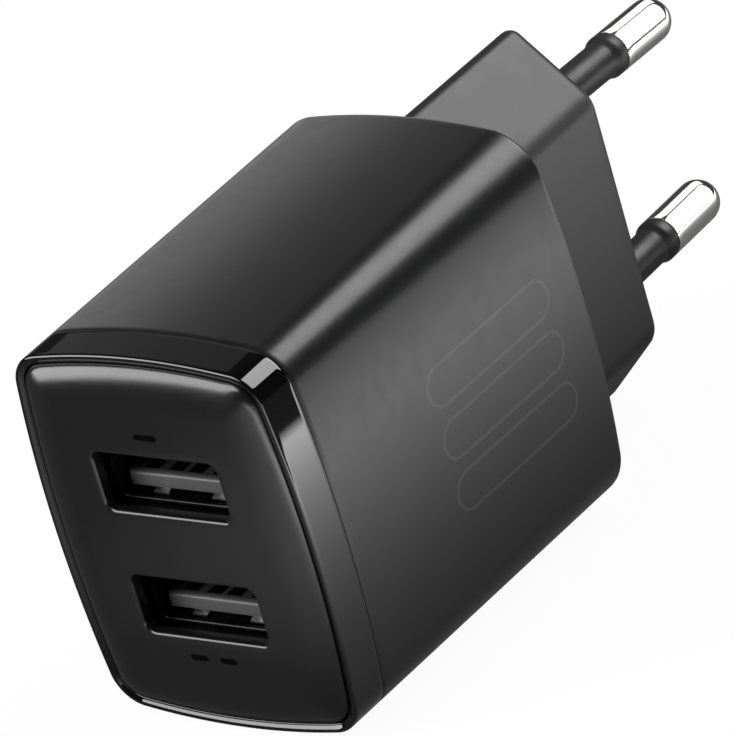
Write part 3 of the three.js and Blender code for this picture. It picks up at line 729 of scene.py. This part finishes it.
def insulator_surface(centre_z):
    """The tongue is a side outline carried along X, its upper line lowered where a contact's slot
    runs; the block behind it is a rounded outline carried along Y."""
    bottom = centre_z - SHELL_INSIDE[1] / 2 + TONGUE_LIFT
    top = bottom + TONGUE_DRAWN_THICKNESS
    tip, block_y = SHELL_Y + 0.6, SHELL_END_Y - 3.0
    nose_length, nose_drop, slot_half, slot_depth, ease = 0.5, 0.4, 0.75, 0.76, 0.1
    tongue_half = TONGUE_HALF_WIDTH
    cosine, sine = arc_profile(0, 90, 8)
    nose = list(zip(tip + nose_length * (1 - cosine), top - nose_drop * (1 - sine)))
    slot_y = tip + nose_length
    upper = [(slot_y + 0.06, top), (slot_y + 0.12, top), (block_y + 0.8, top)]
    lower = [(block_y + 0.8, bottom), (tip + ease, bottom)]
    outline = np.array([(tip, bottom + ease), *nose, *upper, *lower])
    lowered = np.zeros(len(outline))
    lowered[len(nose) + 2 : len(nose) + 4] = slot_depth
    slot_edges = np.array([-slot_half - 0.01, -slot_half, slot_half, slot_half + 0.01])
    slots = (np.array(CONTACT_X)[:, None] + slot_edges).ravel()
    ends = np.array([-tongue_half, ease - tongue_half])
    across = np.concatenate([ends, slots, -ends[::-1]])
    in_slot = (np.abs(across[:, None] - np.array(CONTACT_X)) < slot_half + 0.005).any(1)
    at_end = np.abs(across) > tongue_half - 1e-6
    middle = outline.mean(0)
    pull = np.where(at_end, ease, 0.0)[:, None]
    y = outline[None, :, 0] - pull * np.sign(outline[None, :, 0] - middle[0])
    z = outline[None, :, 1] - pull * np.sign(outline[None, :, 1] - middle[1])
    z = z - lowered[None, :] * in_slot[:, None]
    tongue = capped(with_columns(across[:, None], y, z))
    rows = []
    for y, inset in ((block_y, 0.12), (block_y + 0.1, 0.0), (SHELL_END_Y - 0.1, 0.0), (SHELL_END_Y, 0.12)):
        size = (SHELL_INSIDE[0] - 0.2 - 2 * inset, SHELL_INSIDE[1] - 0.2 - 2 * inset)
        x, up = rounded_rectangle(*size, 0.45, 0.0, centre_z)
        rows.append(with_columns(x, y, up))
    return [tongue, capped(np.stack(rows))]


# ---- Finishes ----


def node_group(name, inputs, outputs):
    """New shader node group with its sockets and its input and output nodes."""
    tree = bpy.data.node_groups.new(name, "ShaderNodeTree")
    for label, kind, value in inputs:
        socket = tree.interface.new_socket(name=label, in_out="INPUT", socket_type=kind)
        socket.default_value = value
    for label, kind in outputs:
        tree.interface.new_socket(name=label, in_out="OUTPUT", socket_type=kind)
    return tree, tree.nodes.new("NodeGroupInput"), tree.nodes.new("NodeGroupOutput")


def add_node(tree, kind, inputs=None, **settings):
    """Node of `kind` with its settings; each input is a value or another node's socket."""
    node = tree.nodes.new(kind)
    for key, value in settings.items():
        setattr(node, key, value)
    for key, value in (inputs or {}).items():
        if isinstance(value, bpy.types.NodeSocket):
            tree.links.new(value, node.inputs[key])
        else:
            node.inputs[key].default_value = value
    return node


def math_node(tree, operation, first, second=0.5, clamp=False):
    node = add_node(tree, "ShaderNodeMath", {0: first, 1: second}, operation=operation)
    node.use_clamp = clamp
    return node.outputs[0]


def map_range(tree, value, low, high, to_low=0.0, to_high=1.0):
    inputs = {"Value": value, "From Min": low, "From Max": high, "To Min": to_low, "To Max": to_high}
    return add_node(tree, "ShaderNodeMapRange", inputs).outputs["Result"]


def noise(tree, vector, scale, detail=3.0, roughness=0.5):
    inputs = {"Vector": vector, "Scale": scale, "Detail": detail, "Roughness": roughness}
    return add_node(tree, "ShaderNodeTexNoise", inputs).outputs["Fac"]


def mix_colour(tree, factor, first, second, blend="MIX"):
    node = tree.nodes.new("ShaderNodeMix")
    node.data_type = "RGBA"
    node.blend_type = blend
    for key, value in ((0, factor), (6, first), (7, second)):
        if isinstance(value, bpy.types.NodeSocket):
            tree.links.new(value, node.inputs[key])
        else:
            node.inputs[key].default_value = value
    return node.outputs[2]


def moulded_grain_group():
    """Moulded plastic: fine grain for the bump, soft shade variation, and small rubbed spots."""
    tree, given, made = node_group(
        "moulded grain",
        [
            ("Colour", "NodeSocketColor", (0.02, 0.02, 0.02, 1.0)),
            ("Grain Size", "NodeSocketFloat", 9000.0),
            ("Roughness", "NodeSocketFloat", 0.4),
            ("Variation", "NodeSocketFloat", 0.08),
        ],
        [("Colour", "NodeSocketColor"), ("Roughness", "NodeSocketFloat"), ("Height", "NodeSocketFloat")],
    )
    place = add_node(tree, "ShaderNodeTexCoord").outputs["Object"]
    grain = noise(tree, place, given.outputs["Grain Size"], 2.0, 0.6)
    cells = add_node(
        tree, "ShaderNodeTexVoronoi", {"Vector": place, "Scale": given.outputs["Grain Size"]}
    ).outputs["Distance"]
    clouds = noise(tree, place, 190.0, 4.0, 0.55)
    smears = noise(tree, place, 620.0, 5.0, 0.65)
    shade = map_range(tree, clouds, 0.3, 0.7, -1.0, 1.0)
    shade = math_node(tree, "MULTIPLY", shade, given.outputs["Variation"])
    lighter = mix_colour(tree, 1.0, given.outputs["Colour"], (1.35, 1.35, 1.35, 1.0), "MULTIPLY")
    half = math_node(tree, "ADD", shade, 0.3, clamp=True)
    tree.links.new(mix_colour(tree, half, given.outputs["Colour"], lighter), made.inputs["Colour"])
    rub = map_range(tree, smears, 0.42, 0.72, 0.0, 1.0)
    change = math_node(tree, "MULTIPLY", rub, given.outputs["Variation"])
    rough = math_node(tree, "ADD", given.outputs["Roughness"], change)
    tree.links.new(rough, made.inputs["Roughness"])
    height = math_node(tree, "ADD", math_node(tree, "MULTIPLY", grain, 0.7), cells)
    tree.links.new(height, made.inputs["Height"])
    return tree


def drawn_metal_group():
    """Plated or drawn metal: fine lines along Y and faint stains."""
    tree, given, made = node_group(
        "drawn metal",
        [
            ("Colour", "NodeSocketColor", (0.9, 0.9, 0.9, 1.0)),
            ("Roughness", "NodeSocketFloat", 0.15),
            ("Stain", "NodeSocketFloat", 0.1),
        ],
        [("Colour", "NodeSocketColor"), ("Roughness", "NodeSocketFloat"), ("Height", "NodeSocketFloat")],
    )
    place = add_node(tree, "ShaderNodeTexCoord").outputs["Object"]
    along = add_node(tree, "ShaderNodeMapping", {"Vector": place, "Scale": (1.0, 0.04, 1.0)}).outputs[0]
    lines = noise(tree, along, 9000.0, 2.0, 0.6)
    clouds = noise(tree, place, 420.0, 4.0, 0.6)
    stain = math_node(
        tree, "MULTIPLY", map_range(tree, clouds, 0.45, 0.75), given.outputs["Stain"], clamp=True
    )
    dark = mix_colour(tree, 1.0, given.outputs["Colour"], (0.72, 0.70, 0.66, 1.0), "MULTIPLY")
    tree.links.new(mix_colour(tree, stain, given.outputs["Colour"], dark), made.inputs["Colour"])
    spread = math_node(tree, "MULTIPLY", lines, 0.02)
    rough = math_node(tree, "ADD", given.outputs["Roughness"], spread)
    tree.links.new(math_node(tree, "ADD", rough, stain), made.inputs["Roughness"])
    tree.links.new(lines, made.inputs["Height"])
    return tree


GROUPS = {}


def shared_group(name):
    """The named shared node group, made the first time it is asked for."""
    if name not in GROUPS:
        GROUPS[name] = {"grain": moulded_grain_group, "metal": drawn_metal_group}[name]()
    return GROUPS[name]


def new_material(name):
    material = bpy.data.materials.new(name)
    material.use_nodes = True
    tree = material.node_tree
    return material, tree, tree.nodes["Principled BSDF"]


def bump(tree, height, strength, distance):
    inputs = {"Height": height, "Strength": strength, "Distance": distance}
    return add_node(tree, "ShaderNodeBump", inputs).outputs["Normal"]


def plastic(name, tint, roughness, grain_size, grain_depth, specular=0.5, variation=0.08):
    """Moulded plastic material with fine grain and a soft variation of shade and gloss."""
    material, tree, shader = new_material(name)
    grain = tree.nodes.new("ShaderNodeGroup")
    grain.node_tree = shared_group("grain")
    grain.inputs["Colour"].default_value = (*tint, 1.0)
    grain.inputs["Grain Size"].default_value = grain_size
    grain.inputs["Roughness"].default_value = roughness
    grain.inputs["Variation"].default_value = variation
    tree.links.new(grain.outputs["Colour"], shader.inputs["Base Color"])
    tree.links.new(grain.outputs["Roughness"], shader.inputs["Roughness"])
    tree.links.new(bump(tree, grain.outputs["Height"], 0.5, grain_depth), shader.inputs["Normal"])
    shader.inputs["Specular IOR Level"].default_value = specular
    return material


def plastic_parts(material):
    """A plastic material's tree, its shader and the colour socket that feeds the shader."""
    tree = material.node_tree
    shader = tree.nodes["Principled BSDF"]
    return tree, shader, shader.inputs["Base Color"].links[0].from_socket


def metal(name, tint, roughness, stain=0.1, line_depth=0.4e-6):
    """Plated metal material with fine lines along the part's length."""
    material, tree, shader = new_material(name)
    drawn = tree.nodes.new("ShaderNodeGroup")
    drawn.node_tree = shared_group("metal")
    drawn.inputs["Colour"].default_value = (*tint, 1.0)
    drawn.inputs["Roughness"].default_value = roughness
    drawn.inputs["Stain"].default_value = stain
    tree.links.new(drawn.outputs["Colour"], shader.inputs["Base Color"])
    tree.links.new(drawn.outputs["Roughness"], shader.inputs["Roughness"])
    tree.links.new(bump(tree, drawn.outputs["Height"], 0.3, line_depth), shader.inputs["Normal"])
    shader.inputs["Metallic"].default_value = 1.0
    return material


# ---- Printed marks ----


def position_axes(tree):
    """Object coordinates in millimetres as separate x, y, z sockets."""
    place = add_node(tree, "ShaderNodeTexCoord").outputs["Object"]
    scaled = add_node(tree, "ShaderNodeVectorMath", {0: place, "Scale": 1 / MM}, operation="SCALE")
    axes = add_node(tree, "ShaderNodeSeparateXYZ", {0: scaled.outputs[0]})
    return axes.outputs[0], axes.outputs[1], axes.outputs[2]


def capsule_distance(tree, along, across, start, end, level, radius):
    """Distance in millimetres outside a capsule that runs from start to end at a level."""
    middle, half = (start + end) / 2, abs(end - start) / 2
    reach = math_node(tree, "ABSOLUTE", math_node(tree, "SUBTRACT", along, middle))
    beyond = math_node(tree, "MAXIMUM", math_node(tree, "SUBTRACT", reach, half), 0.0)
    aside = math_node(tree, "SUBTRACT", across, level)
    squared = math_node(tree, "MULTIPLY", beyond, beyond)
    squared = math_node(tree, "ADD", math_node(tree, "MULTIPLY", aside, aside), squared)
    return math_node(tree, "SUBTRACT", math_node(tree, "SQRT", squared), radius)


def printed(tree, base, distances, ink, line=None):
    """Base colour with ink where a distance is below zero, or within `line` of zero if given."""
    marked = base
    edge = line or 0.0
    for distance in distances:
        value = math_node(tree, "ABSOLUTE", distance) if line else distance
        mask = map_range(tree, value, edge + 0.03, edge - 0.03)
        marked = mix_colour(tree, mask, marked, (*ink, 1.0))
    return marked


# Outlined capsules on the housing's right side: start and end along Y, heights.
SIDE_MARK_SPAN = (-36.5, -23.0)
SIDE_MARK_HEIGHTS = (5.2, 0.4, -4.4)
SIDE_MARK_RADIUS = 1.7
SIDE_MARK_LINE = 0.13

# Bars by the sockets, one above the upper and two below the lower: start and end along X, height.
PORT_MARK_RADIUS = 0.3
PORT_MARKS = [
    (-0.9, 0.9, SOCKETS["upper"] + 4.6),
    (-2.1, -0.9, SOCKETS["lower"] - 4.6),
    (0.9, 2.1, SOCKETS["lower"] - 4.6),
]
PORT_MARK_INK = (0.0006, 0.0006, 0.0006)


# ---- Operators ----


class ChargerOperator:
    bl_options = {"REGISTER", "UNDO"}


class CHARGER_OT_housing(ChargerOperator, bpy.types.Operator):
    """Build the satin housing with its bowed sides and the hole for the plug's neck"""

    bl_idname = "charger.housing"
    bl_label = "Housing"

    def execute(self, context):
        sizes, colours = context.scene.charger_sizes, context.scene.charger_colours
        points, faces = housing_surface(sizes.housing_edge / MM)
        piece = make_piece("housing_skin", points, faces, "root", "housing_plastic", ["main_housing"])
        material = plastic("satin housing plastic", colours.housing, 0.29, 6500.0, 2.5e-6, 0.42, 0.05)
        tree, shader, base = plastic_parts(material)
        x, y, z = position_axes(tree)
        marks = [
            capsule_distance(tree, y, z, *SIDE_MARK_SPAN, height, SIDE_MARK_RADIUS)
            for height in SIDE_MARK_HEIGHTS
        ]
        inked = printed(tree, base, marks, colours.print_ink, SIDE_MARK_LINE)
        right = map_range(tree, x, 12.9, 13.2)
        tree.links.new(mix_colour(tree, right, base, inked), shader.inputs["Base Color"])
        piece.data.materials.append(material)
        return {"FINISHED"}


class CHARGER_OT_bezel(ChargerOperator, bpy.types.Operator):
    """Build the gloss band round the front, with its narrow rim"""

    bl_idname = "charger.bezel"
    bl_label = "Bezel"

    def execute(self, context):
        sizes, colours = context.scene.charger_sizes, context.scene.charger_colours
        points, faces = bezel_surface(sizes.lip / MM)
        piece = make_piece("bezel_band", points, faces, "root", "bezel_plastic", ["front_bezel"])
        material = plastic("gloss bezel plastic", colours.bezel, 0.03, 1200.0, 0.2e-6, 0.55, 0.02)
        piece.data.materials.append(material)
        return {"FINISHED"}


class CHARGER_OT_panel(ChargerOperator, bpy.types.Operator):
    """Build the crowned front panel with its two socket openings"""

    bl_idname = "charger.panel"
    bl_label = "Front Panel"

    def execute(self, context):
        sizes, colours = context.scene.charger_sizes, context.scene.charger_colours
        shape = (sizes.panel_inset / MM, sizes.mouth_corner / MM, sizes.mouth_depth / MM)
        grids = panel_half(1, SOCKETS["upper"], *shape) + panel_half(-1, SOCKETS["lower"], *shape)
        points, faces = join_grids(grids)
        piece = make_piece("front_panel_skin", points, faces, "root", "panel_plastic", ["front_panel"])
        material = plastic("front panel plastic", colours.panel, 0.2, 9000.0, 0.8e-6, 0.5, 0.04)
        tree, shader, base = plastic_parts(material)
        x, _, z = position_axes(tree)
        marks = [capsule_distance(tree, x, z, *mark, PORT_MARK_RADIUS) for mark in PORT_MARKS]
        tree.links.new(printed(tree, base, marks, PORT_MARK_INK), shader.inputs["Base Color"])
        sunk = math_node(tree, "MINIMUM", math_node(tree, "MINIMUM", marks[0], marks[1]), marks[2])
        sunk = map_range(tree, sunk, -0.06, 0.06)
        shine = map_range(tree, sunk, 0.0, 1.0, 0.08, 0.5)
        tree.links.new(shine, shader.inputs["Specular IOR Level"])
        grain_normal = shader.inputs["Normal"].links[0].from_socket
        pressed = {"Height": sunk, "Strength": 1.0, "Distance": 0.015 * MM, "Normal": grain_normal}
        pressed = add_node(tree, "ShaderNodeBump", pressed)
        tree.links.new(pressed.outputs["Normal"], shader.inputs["Normal"])
        piece.data.materials.append(material)
        return {"FINISHED"}


class CHARGER_OT_plug(ChargerOperator, bpy.types.Operator):
    """Build the pointed plug block that goes into the wall socket"""

    bl_idname = "charger.plug"
    bl_label = "Plug Block"

    def execute(self, context):
        sizes, colours = context.scene.charger_sizes, context.scene.charger_colours
        shape = (sizes.plug_edge / MM, sizes.plug_corner / MM, 1.72)
        points, faces = join_grids(plug_half(1, *shape) + plug_half(-1, *shape))
        piece = make_piece("plug_block_skin", points, faces, "root", "plug_plastic", ["plug_block"])
        solidify = piece.modifiers.new("wall", "SOLIDIFY")
        solidify.thickness = PLUG_WALL * MM
        solidify.offset = -1.0
        material = plastic("matt plug plastic", colours.plug, 0.42, 5200.0, 3.0e-6, 0.5, 0.025)
        piece.data.materials.append(material)
        return {"FINISHED"}


class CHARGER_OT_pins(ChargerOperator, bpy.types.Operator):
    """Build the two plated pins and their insulating sleeves"""

    bl_idname = "charger.pins"
    bl_label = "Pins and Sleeves"

    def execute(self, context):
        colours = context.scene.charger_colours
        plated = metal("plated pin metal", colours.pins, 0.09, 0.02, 0.0)
        sleeve_plastic = plastic("pin sleeve plastic", colours.sleeve, 0.42, 7000.0, 2.0e-6)
        for name, side in (("upper", 1), ("lower", -1)):
            shape = turned_surface(pin_profile(), side)
            pin = make_piece(f"plug_pin_{name}", *shape, "root", "pin_metal", [f"pin_{name}"])
            pin.data.materials.append(plated)
            shape = turned_surface(sleeve_profile(), side)
            replaced = [f"pin_sleeve_{name}"]
            sleeve = make_piece(f"plug_sleeve_{name}", *shape, "root", "sleeve_plastic", replaced)
            sleeve.data.materials.append(sleeve_plastic)
        return {"FINISHED"}


class CHARGER_OT_sockets(ChargerOperator, bpy.types.Operator):
    """Build the two USB-A sockets: shells, tongues, contacts and retention tabs"""

    bl_idname = "charger.sockets"
    bl_label = "Sockets"

    def execute(self, context):
        colours = context.scene.charger_colours
        shell_metal = metal("socket shell steel", colours.shell, 0.3, 0.2)
        tab_metal = metal("spring steel", colours.tabs, 0.22, 0.1)
        gold = metal("gilded contact", colours.contacts, 0.25, 0.15)
        moulding = plastic("socket tongue plastic", colours.tongue, 0.42, 8000.0, 1.5e-6, 0.35, 0.06)
        for name, z in SOCKETS.items():
            shape, replaced = shell_surface(z), [f"shell_{name}"]
            shell = make_piece(f"socket_shell_{name}", *shape, "root", "shell_metal", replaced)
            shell.data.materials.append(shell_metal)
            shape, replaced = join_grids(insulator_surface(z)), [f"insulator_{name}"]
            tongue = make_piece(f"socket_tongue_{name}", *shape, "root", "tongue_plastic", replaced)
            tongue.data.materials.append(moulding)
            self.contacts(name, z, gold)
            self.tabs(name, z, tab_metal)
        return {"FINISHED"}

    def contacts(self, name, z, material):
        """Four leaves that leave the rear block, rise above the tongue and dip at their tips."""
        top = z - SHELL_INSIDE[1] / 2 + TONGUE_LIFT + TONGUE_THICKNESS
        root = SHELL_END_Y - 2.1
        path = [
            (root, top - 0.3), (root - 2, top - 0.22), (root - 4.6, top + 0.2),
            (root - 5.6, top + 0.3), (root - 6.6, top + 0.1), (root - 7.6, top - 0.35),
        ]
        for number, x in enumerate(CONTACT_X, 1):
            shape = leaf_surface(path, CONTACT_THICKNESS, CONTACT_WIDTH, x)
            label, replaced = f"socket_contact_{name}_{number}", [f"contact_{name}_{number}"]
            piece = make_piece(label, *shape, f"{name}_contacts", "contact_metal", replaced)
            piece.data.materials.append(material)

    def tabs(self, name, z, material):
        """Retention leaves in the floor and roof that bow inwards to grip a plug."""
        wall = SHELL_INSIDE[1] / 2 + SHELL_WALL / 2
        root = SHELL_Y + 6.3
        path = [
            (root, wall), (root - 1.4, wall - 0.02), (root - 3.9, wall - 0.42),
            (root - 4.5, wall - 0.48), (root - 5.4, wall - 0.1),
        ]
        for place, side in (("floor", -1), ("roof", 1)):
            leaf = [(y, z + side * height) for y, height in path]
            for hand, x in (("left", -TAB_X), ("right", TAB_X)):
                shape = leaf_surface(leaf, TAB_THICKNESS, TAB_WIDTH, x)
                label, replaced = f"socket_tab_{name}_{place}_{hand}", [f"tab_{name}_{place}_{hand}"]
                piece = make_piece(label, *shape, f"{name}_{place}_tabs", "tab_metal", replaced)
                piece.data.materials.append(material)


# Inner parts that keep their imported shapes: name beginnings, finish, tint, roughness.
INNER_FINISHES = [
    (("socket_board", "main_board"), "board laminate", (0.012, 0.085, 0.035), 0.45, "laminate"),
    (("transformer_core", "filter_inductor"), "ferrite", (0.035, 0.035, 0.038), 0.62, "grain"),
    (("transformer_winding",), "winding tape", (0.68, 0.45, 0.04), 0.4, "wraps"),
    (("bulk_capacitor",), "capacitor sleeve", (0.022, 0.034, 0.08), 0.35, "grain"),
    (("output_capacitor",), "capacitor can", (0.55, 0.56, 0.58), 0.3, "metal"),
    (("fusible_resistor",), "resistor body", (0.26, 0.10, 0.035), 0.5, "grain"),
    (("suppressor_capacitor",), "disc coating", (0.03, 0.13, 0.38), 0.4, "grain"),
    (
        ("transformer_bobbin", "bridge_rectifier", "controller_chip", "rectifier_chip", "charging_chip"),
        "chip plastic",
        (0.014, 0.015, 0.017),
        0.55,
        "grain",
    ),
    (("insulating_sheet",), "insulating film", (0.75, 0.71, 0.62), 0.45, "grain"),
    (("pin_contact",), "spring alloy", (0.49, 0.25, 0.085), 0.35, "metal"),
]


# Banded finishes: bands per metre and the axis they follow each other along.
BAND_PATTERNS = {"laminate": (900.0, "Y"), "wraps": (260.0, "Z")}


def inner_material(name, tint, roughness, kind):
    """Material of a hidden part: metal, plain grain, or grain with fine bands."""
    if kind == "metal":
        return metal(name, tint, roughness, 0.25)
    material = plastic(name, tint, roughness, 5000.0, 3.0e-6, variation=0.15)
    if kind in BAND_PATTERNS:
        tree, shader, base = plastic_parts(material)
        scale, direction = BAND_PATTERNS[kind]
        place = add_node(tree, "ShaderNodeTexCoord").outputs["Object"]
        wave = {"Vector": place, "Scale": scale, "Distortion": 0.6, "Detail": 2.0}
        bands = add_node(tree, "ShaderNodeTexWave", wave, bands_direction=direction).outputs["Fac"]
        darker = mix_colour(tree, 1.0, base, (0.7, 0.7, 0.7, 1.0), "MULTIPLY")
        tree.links.new(mix_colour(tree, bands, darker, base), shader.inputs["Base Color"])
        tree.links.new(bump(tree, bands, 0.4, 6.0e-6), shader.inputs["Normal"])
    return material


class CHARGER_OT_inner_parts(ChargerOperator, bpy.types.Operator):
    """Give the boards, transformer, capacitors and other inner parts their finishes"""

    bl_idname = "charger.inner_parts"
    bl_label = "Inner Parts"

    def execute(self, context):
        for beginnings, name, tint, roughness, kind in INNER_FINISHES:
            material = inner_material(name, tint, roughness, kind)
            for node_name, node in frame["nodes"].items():
                if node_name.startswith(beginnings):
                    node.data.materials.clear()
                    node.data.materials.append(material)
        return {"FINISHED"}


# ---- Stage ----

AIM = Vector((-12.14, -16.23, -7.31)) * MM
CAMERA_DISTANCE = 583.5 * MM
CAMERA_AZIMUTH = math.radians(43.0)
CAMERA_ELEVATION = math.radians(26.0)
CAMERA_ROLL = math.radians(16.65)
CAMERA_LENS = 336.86

FLOOR_HALF_SIZE = 3.0
BOX_DISTANCE = 0.42

# Soft boxes for all but the pins and tongues: name, direction from the object, size, brightness.
SOFT_BOXES = [
    ("back_box", (0.33, 0.66, 0.674), (0.255, 0.30), 5.4),
    ("front_box", (-0.44, -0.66, 0.46), (0.54, 0.22), 6.3),
    ("left_box", (-0.583, 0.66, 0.472), (0.22, 0.30), 0.13),
]

NOT_UNDER_SOFT_BOXES = ("plug_pin", "socket_tongue")

# Soft boxes that light only some pieces: beginnings of their names, then as above.
PIECE_BOXES = [
    ("plug_pin", "pin_box_right", (0.575, 0.66, 0.482), (0.62, 0.30), 1.15),
    ("plug_pin", "pin_box_top", (-0.386, 0.66, 0.643), (0.22, 0.30), 0.95),
    (("socket_tab", "socket_tongue"), "tab_box", (-0.60, -0.75, 0.10), (0.25, 0.25), 9.0),
    ("housing_skin", "housing_box", (-0.72, 0.66, 0.21), (0.22, 0.30), 0.65),
    ("plug_block", "plug_box", (0.71, 0.66, 0.24), (0.28, 0.30), 0.5),
]


def camera_matrix():
    """Camera frame from its azimuth, elevation and roll round the point it looks at."""
    azimuth, elevation, roll = CAMERA_AZIMUTH, CAMERA_ELEVATION, CAMERA_ROLL
    level = math.cos(elevation)
    back = Vector((math.sin(azimuth) * level, -math.cos(azimuth) * level, math.sin(elevation)))
    right = Vector((math.cos(azimuth), math.sin(azimuth), 0.0))
    up = back.cross(right)
    tilted_up = up * math.cos(roll) + right * math.sin(roll)
    tilted_right = right * math.cos(roll) - up * math.sin(roll)
    matrix = Matrix((tilted_right, tilted_up, back)).transposed().to_4x4()
    matrix.translation = AIM + back * CAMERA_DISTANCE
    return matrix


def soft_box(name, direction, size, brightness, lit_pieces):
    """Area light that faces the object and lights only the given pieces; its first side runs
    round the object's long axis."""
    light = bpy.data.lights.new(name, "AREA")
    light.shape = "RECTANGLE"
    light.size, light.size_y = size
    light.energy = 4.0 * size[0] * size[1] * brightness
    lamp = bpy.data.objects.new(name, light)
    away = Vector(direction).normalized()
    across = Vector((0.0, 1.0, 0.0)).cross(away).normalized()
    along = away.cross(across)
    matrix = Matrix((across, along, away)).transposed().to_4x4()
    matrix.translation = away * BOX_DISTANCE
    lamp.matrix_world = matrix
    lamp.visible_camera = False
    bpy.context.scene.collection.objects.link(lamp)
    lit = bpy.data.collections.new(f"lit by {name}")
    for piece in lit_pieces:
        lit.objects.link(piece)
    lamp.light_linking.receiver_collection = lit


def floor_material():
    """White to the camera with a faint shadow. Reflections see a glow that grows with x until
    84 mm, a faint one in front of the object, and a weak even one elsewhere."""
    material, tree, shader = new_material("pale floor")
    shader.inputs["Base Color"].default_value = (0.86, 0.86, 0.86, 1.0)
    shader.inputs["Roughness"].default_value = 0.6
    light_path = add_node(tree, "ShaderNodeLightPath")
    x, y, _ = position_axes(tree)
    right = math_node(tree, "POWER", map_range(tree, x, 0.0, 76.0), 2.5)
    right = math_node(tree, "MULTIPLY", right, map_range(tree, x, 78.0, 84.0, 6.2, 0.0))
    front = map_range(tree, y, -66.0, -92.0, 0.0, 1.0)
    middle = map_range(tree, x, -38.0, 2.0, 0.0, 0.9)
    glow = math_node(tree, "ADD", right, math_node(tree, "MULTIPLY", front, middle))
    glow = math_node(tree, "ADD", glow, 0.15)
    soft = add_node(tree, "ShaderNodeEmission", {"Strength": glow})
    plain = add_node(tree, "ShaderNodeEmission", {"Strength": 1.0})
    seen = add_node(tree, "ShaderNodeMixShader", {0: 0.96, 1: shader.outputs[0], 2: plain.outputs[0]})
    mixed = add_node(
        tree,
        "ShaderNodeMixShader",
        {0: light_path.outputs["Is Camera Ray"], 1: soft.outputs[0], 2: seen.outputs[0]},
    )
    tree.links.new(mixed.outputs[0], tree.nodes["Material Output"].inputs["Surface"])
    return material


def studio_world():
    """White behind everything for the camera, dim for what the object reflects."""
    world = bpy.data.worlds.new("studio")
    world.use_nodes = True
    tree = world.node_tree
    tree.nodes.clear()
    path = add_node(tree, "ShaderNodeLightPath")
    seen = add_node(tree, "ShaderNodeBackground", {"Color": (1, 1, 1, 1), "Strength": 1.0})
    around = add_node(tree, "ShaderNodeBackground", {"Color": (1, 1, 1, 1), "Strength": 0.05})
    mixed = add_node(
        tree,
        "ShaderNodeMixShader",
        {0: path.outputs["Is Camera Ray"], 1: around.outputs[0], 2: seen.outputs[0]},
    )
    out = add_node(tree, "ShaderNodeOutputWorld")
    tree.links.new(mixed.outputs[0], out.inputs["Surface"])
    bpy.context.scene.world = world


class CHARGER_OT_stage(ChargerOperator, bpy.types.Operator):
    """Set up the floor, the soft boxes, the surroundings and the camera"""

    bl_idname = "charger.stage"
    bl_label = "Stage"

    def execute(self, context):
        corners = np.array([(-1, -1), (1, -1), (1, 1), (-1, 1)]) * FLOOR_HALF_SIZE
        points = with_columns(corners[:, 0], corners[:, 1], CAD_BOUNDS[0][2])
        mesh = bpy.data.meshes.new("floor")
        mesh.from_pydata(points.tolist(), [], [(0, 1, 2, 3)])
        floor = bpy.data.objects.new("floor", mesh)
        floor.data.materials.append(floor_material())
        context.scene.collection.objects.link(floor)
        studio_world()
        pieces = list(bpy.data.objects)
        for box in SOFT_BOXES:
            soft_box(*box, [p for p in pieces if not p.name.startswith(NOT_UNDER_SOFT_BOXES)])
        for beginnings, *box in PIECE_BOXES:
            soft_box(*box, [p for p in pieces if p.name.startswith(beginnings)])
        camera_data = bpy.data.cameras.new("camera")
        camera_data.lens = CAMERA_LENS
        camera_data.sensor_width = 36.0
        camera_data.clip_start = 0.01
        camera_data.clip_end = 20.0
        camera = bpy.data.objects.new("camera", camera_data)
        camera.matrix_world = camera_matrix()
        context.scene.collection.objects.link(camera)
        context.scene.camera = camera
        context.scene.view_settings.view_transform = "Standard"
        return {"FINISHED"}


# ---- Panel and registration ----

BUILD_ORDER = [
    CHARGER_OT_housing,
    CHARGER_OT_bezel,
    CHARGER_OT_panel,
    CHARGER_OT_plug,
    CHARGER_OT_pins,
    CHARGER_OT_sockets,
    CHARGER_OT_inner_parts,
    CHARGER_OT_stage,
]


class CHARGER_PT_build(bpy.types.Panel):
    """Sizes, colours and build steps of the charger"""

    bl_idname = "CHARGER_PT_build"
    bl_label = "Wall Charger"
    bl_space_type = "VIEW_3D"
    bl_region_type = "UI"
    bl_category = "Charger"

    def draw(self, context):
        layout = self.layout
        for title, group in (
            ("Sizes", context.scene.charger_sizes),
            ("Colours", context.scene.charger_colours),
        ):
            box = layout.box()
            box.label(text=title)
            for key in group.__annotations__:
                box.prop(group, key)
        for operator in BUILD_ORDER:
            layout.operator(operator.bl_idname)


CLASSES = [ChargerSizes, ChargerColours, *BUILD_ORDER, CHARGER_PT_build]


def register():
    for item in CLASSES:
        bpy.utils.register_class(item)
    bpy.types.Scene.charger_sizes = bpy.props.PointerProperty(type=ChargerSizes)
    bpy.types.Scene.charger_colours = bpy.props.PointerProperty(type=ChargerColours)


def unregister():
    del bpy.types.Scene.charger_colours
    del bpy.types.Scene.charger_sizes
    for item in reversed(CLASSES):
        bpy.utils.unregister_class(item)


def main():
    register()
    for operator in BUILD_ORDER:
        area, name = operator.bl_idname.split(".")
        getattr(getattr(bpy.ops, area), name)()
    bpy.context.view_layer.update()


if __name__ == "__main__":
    main()
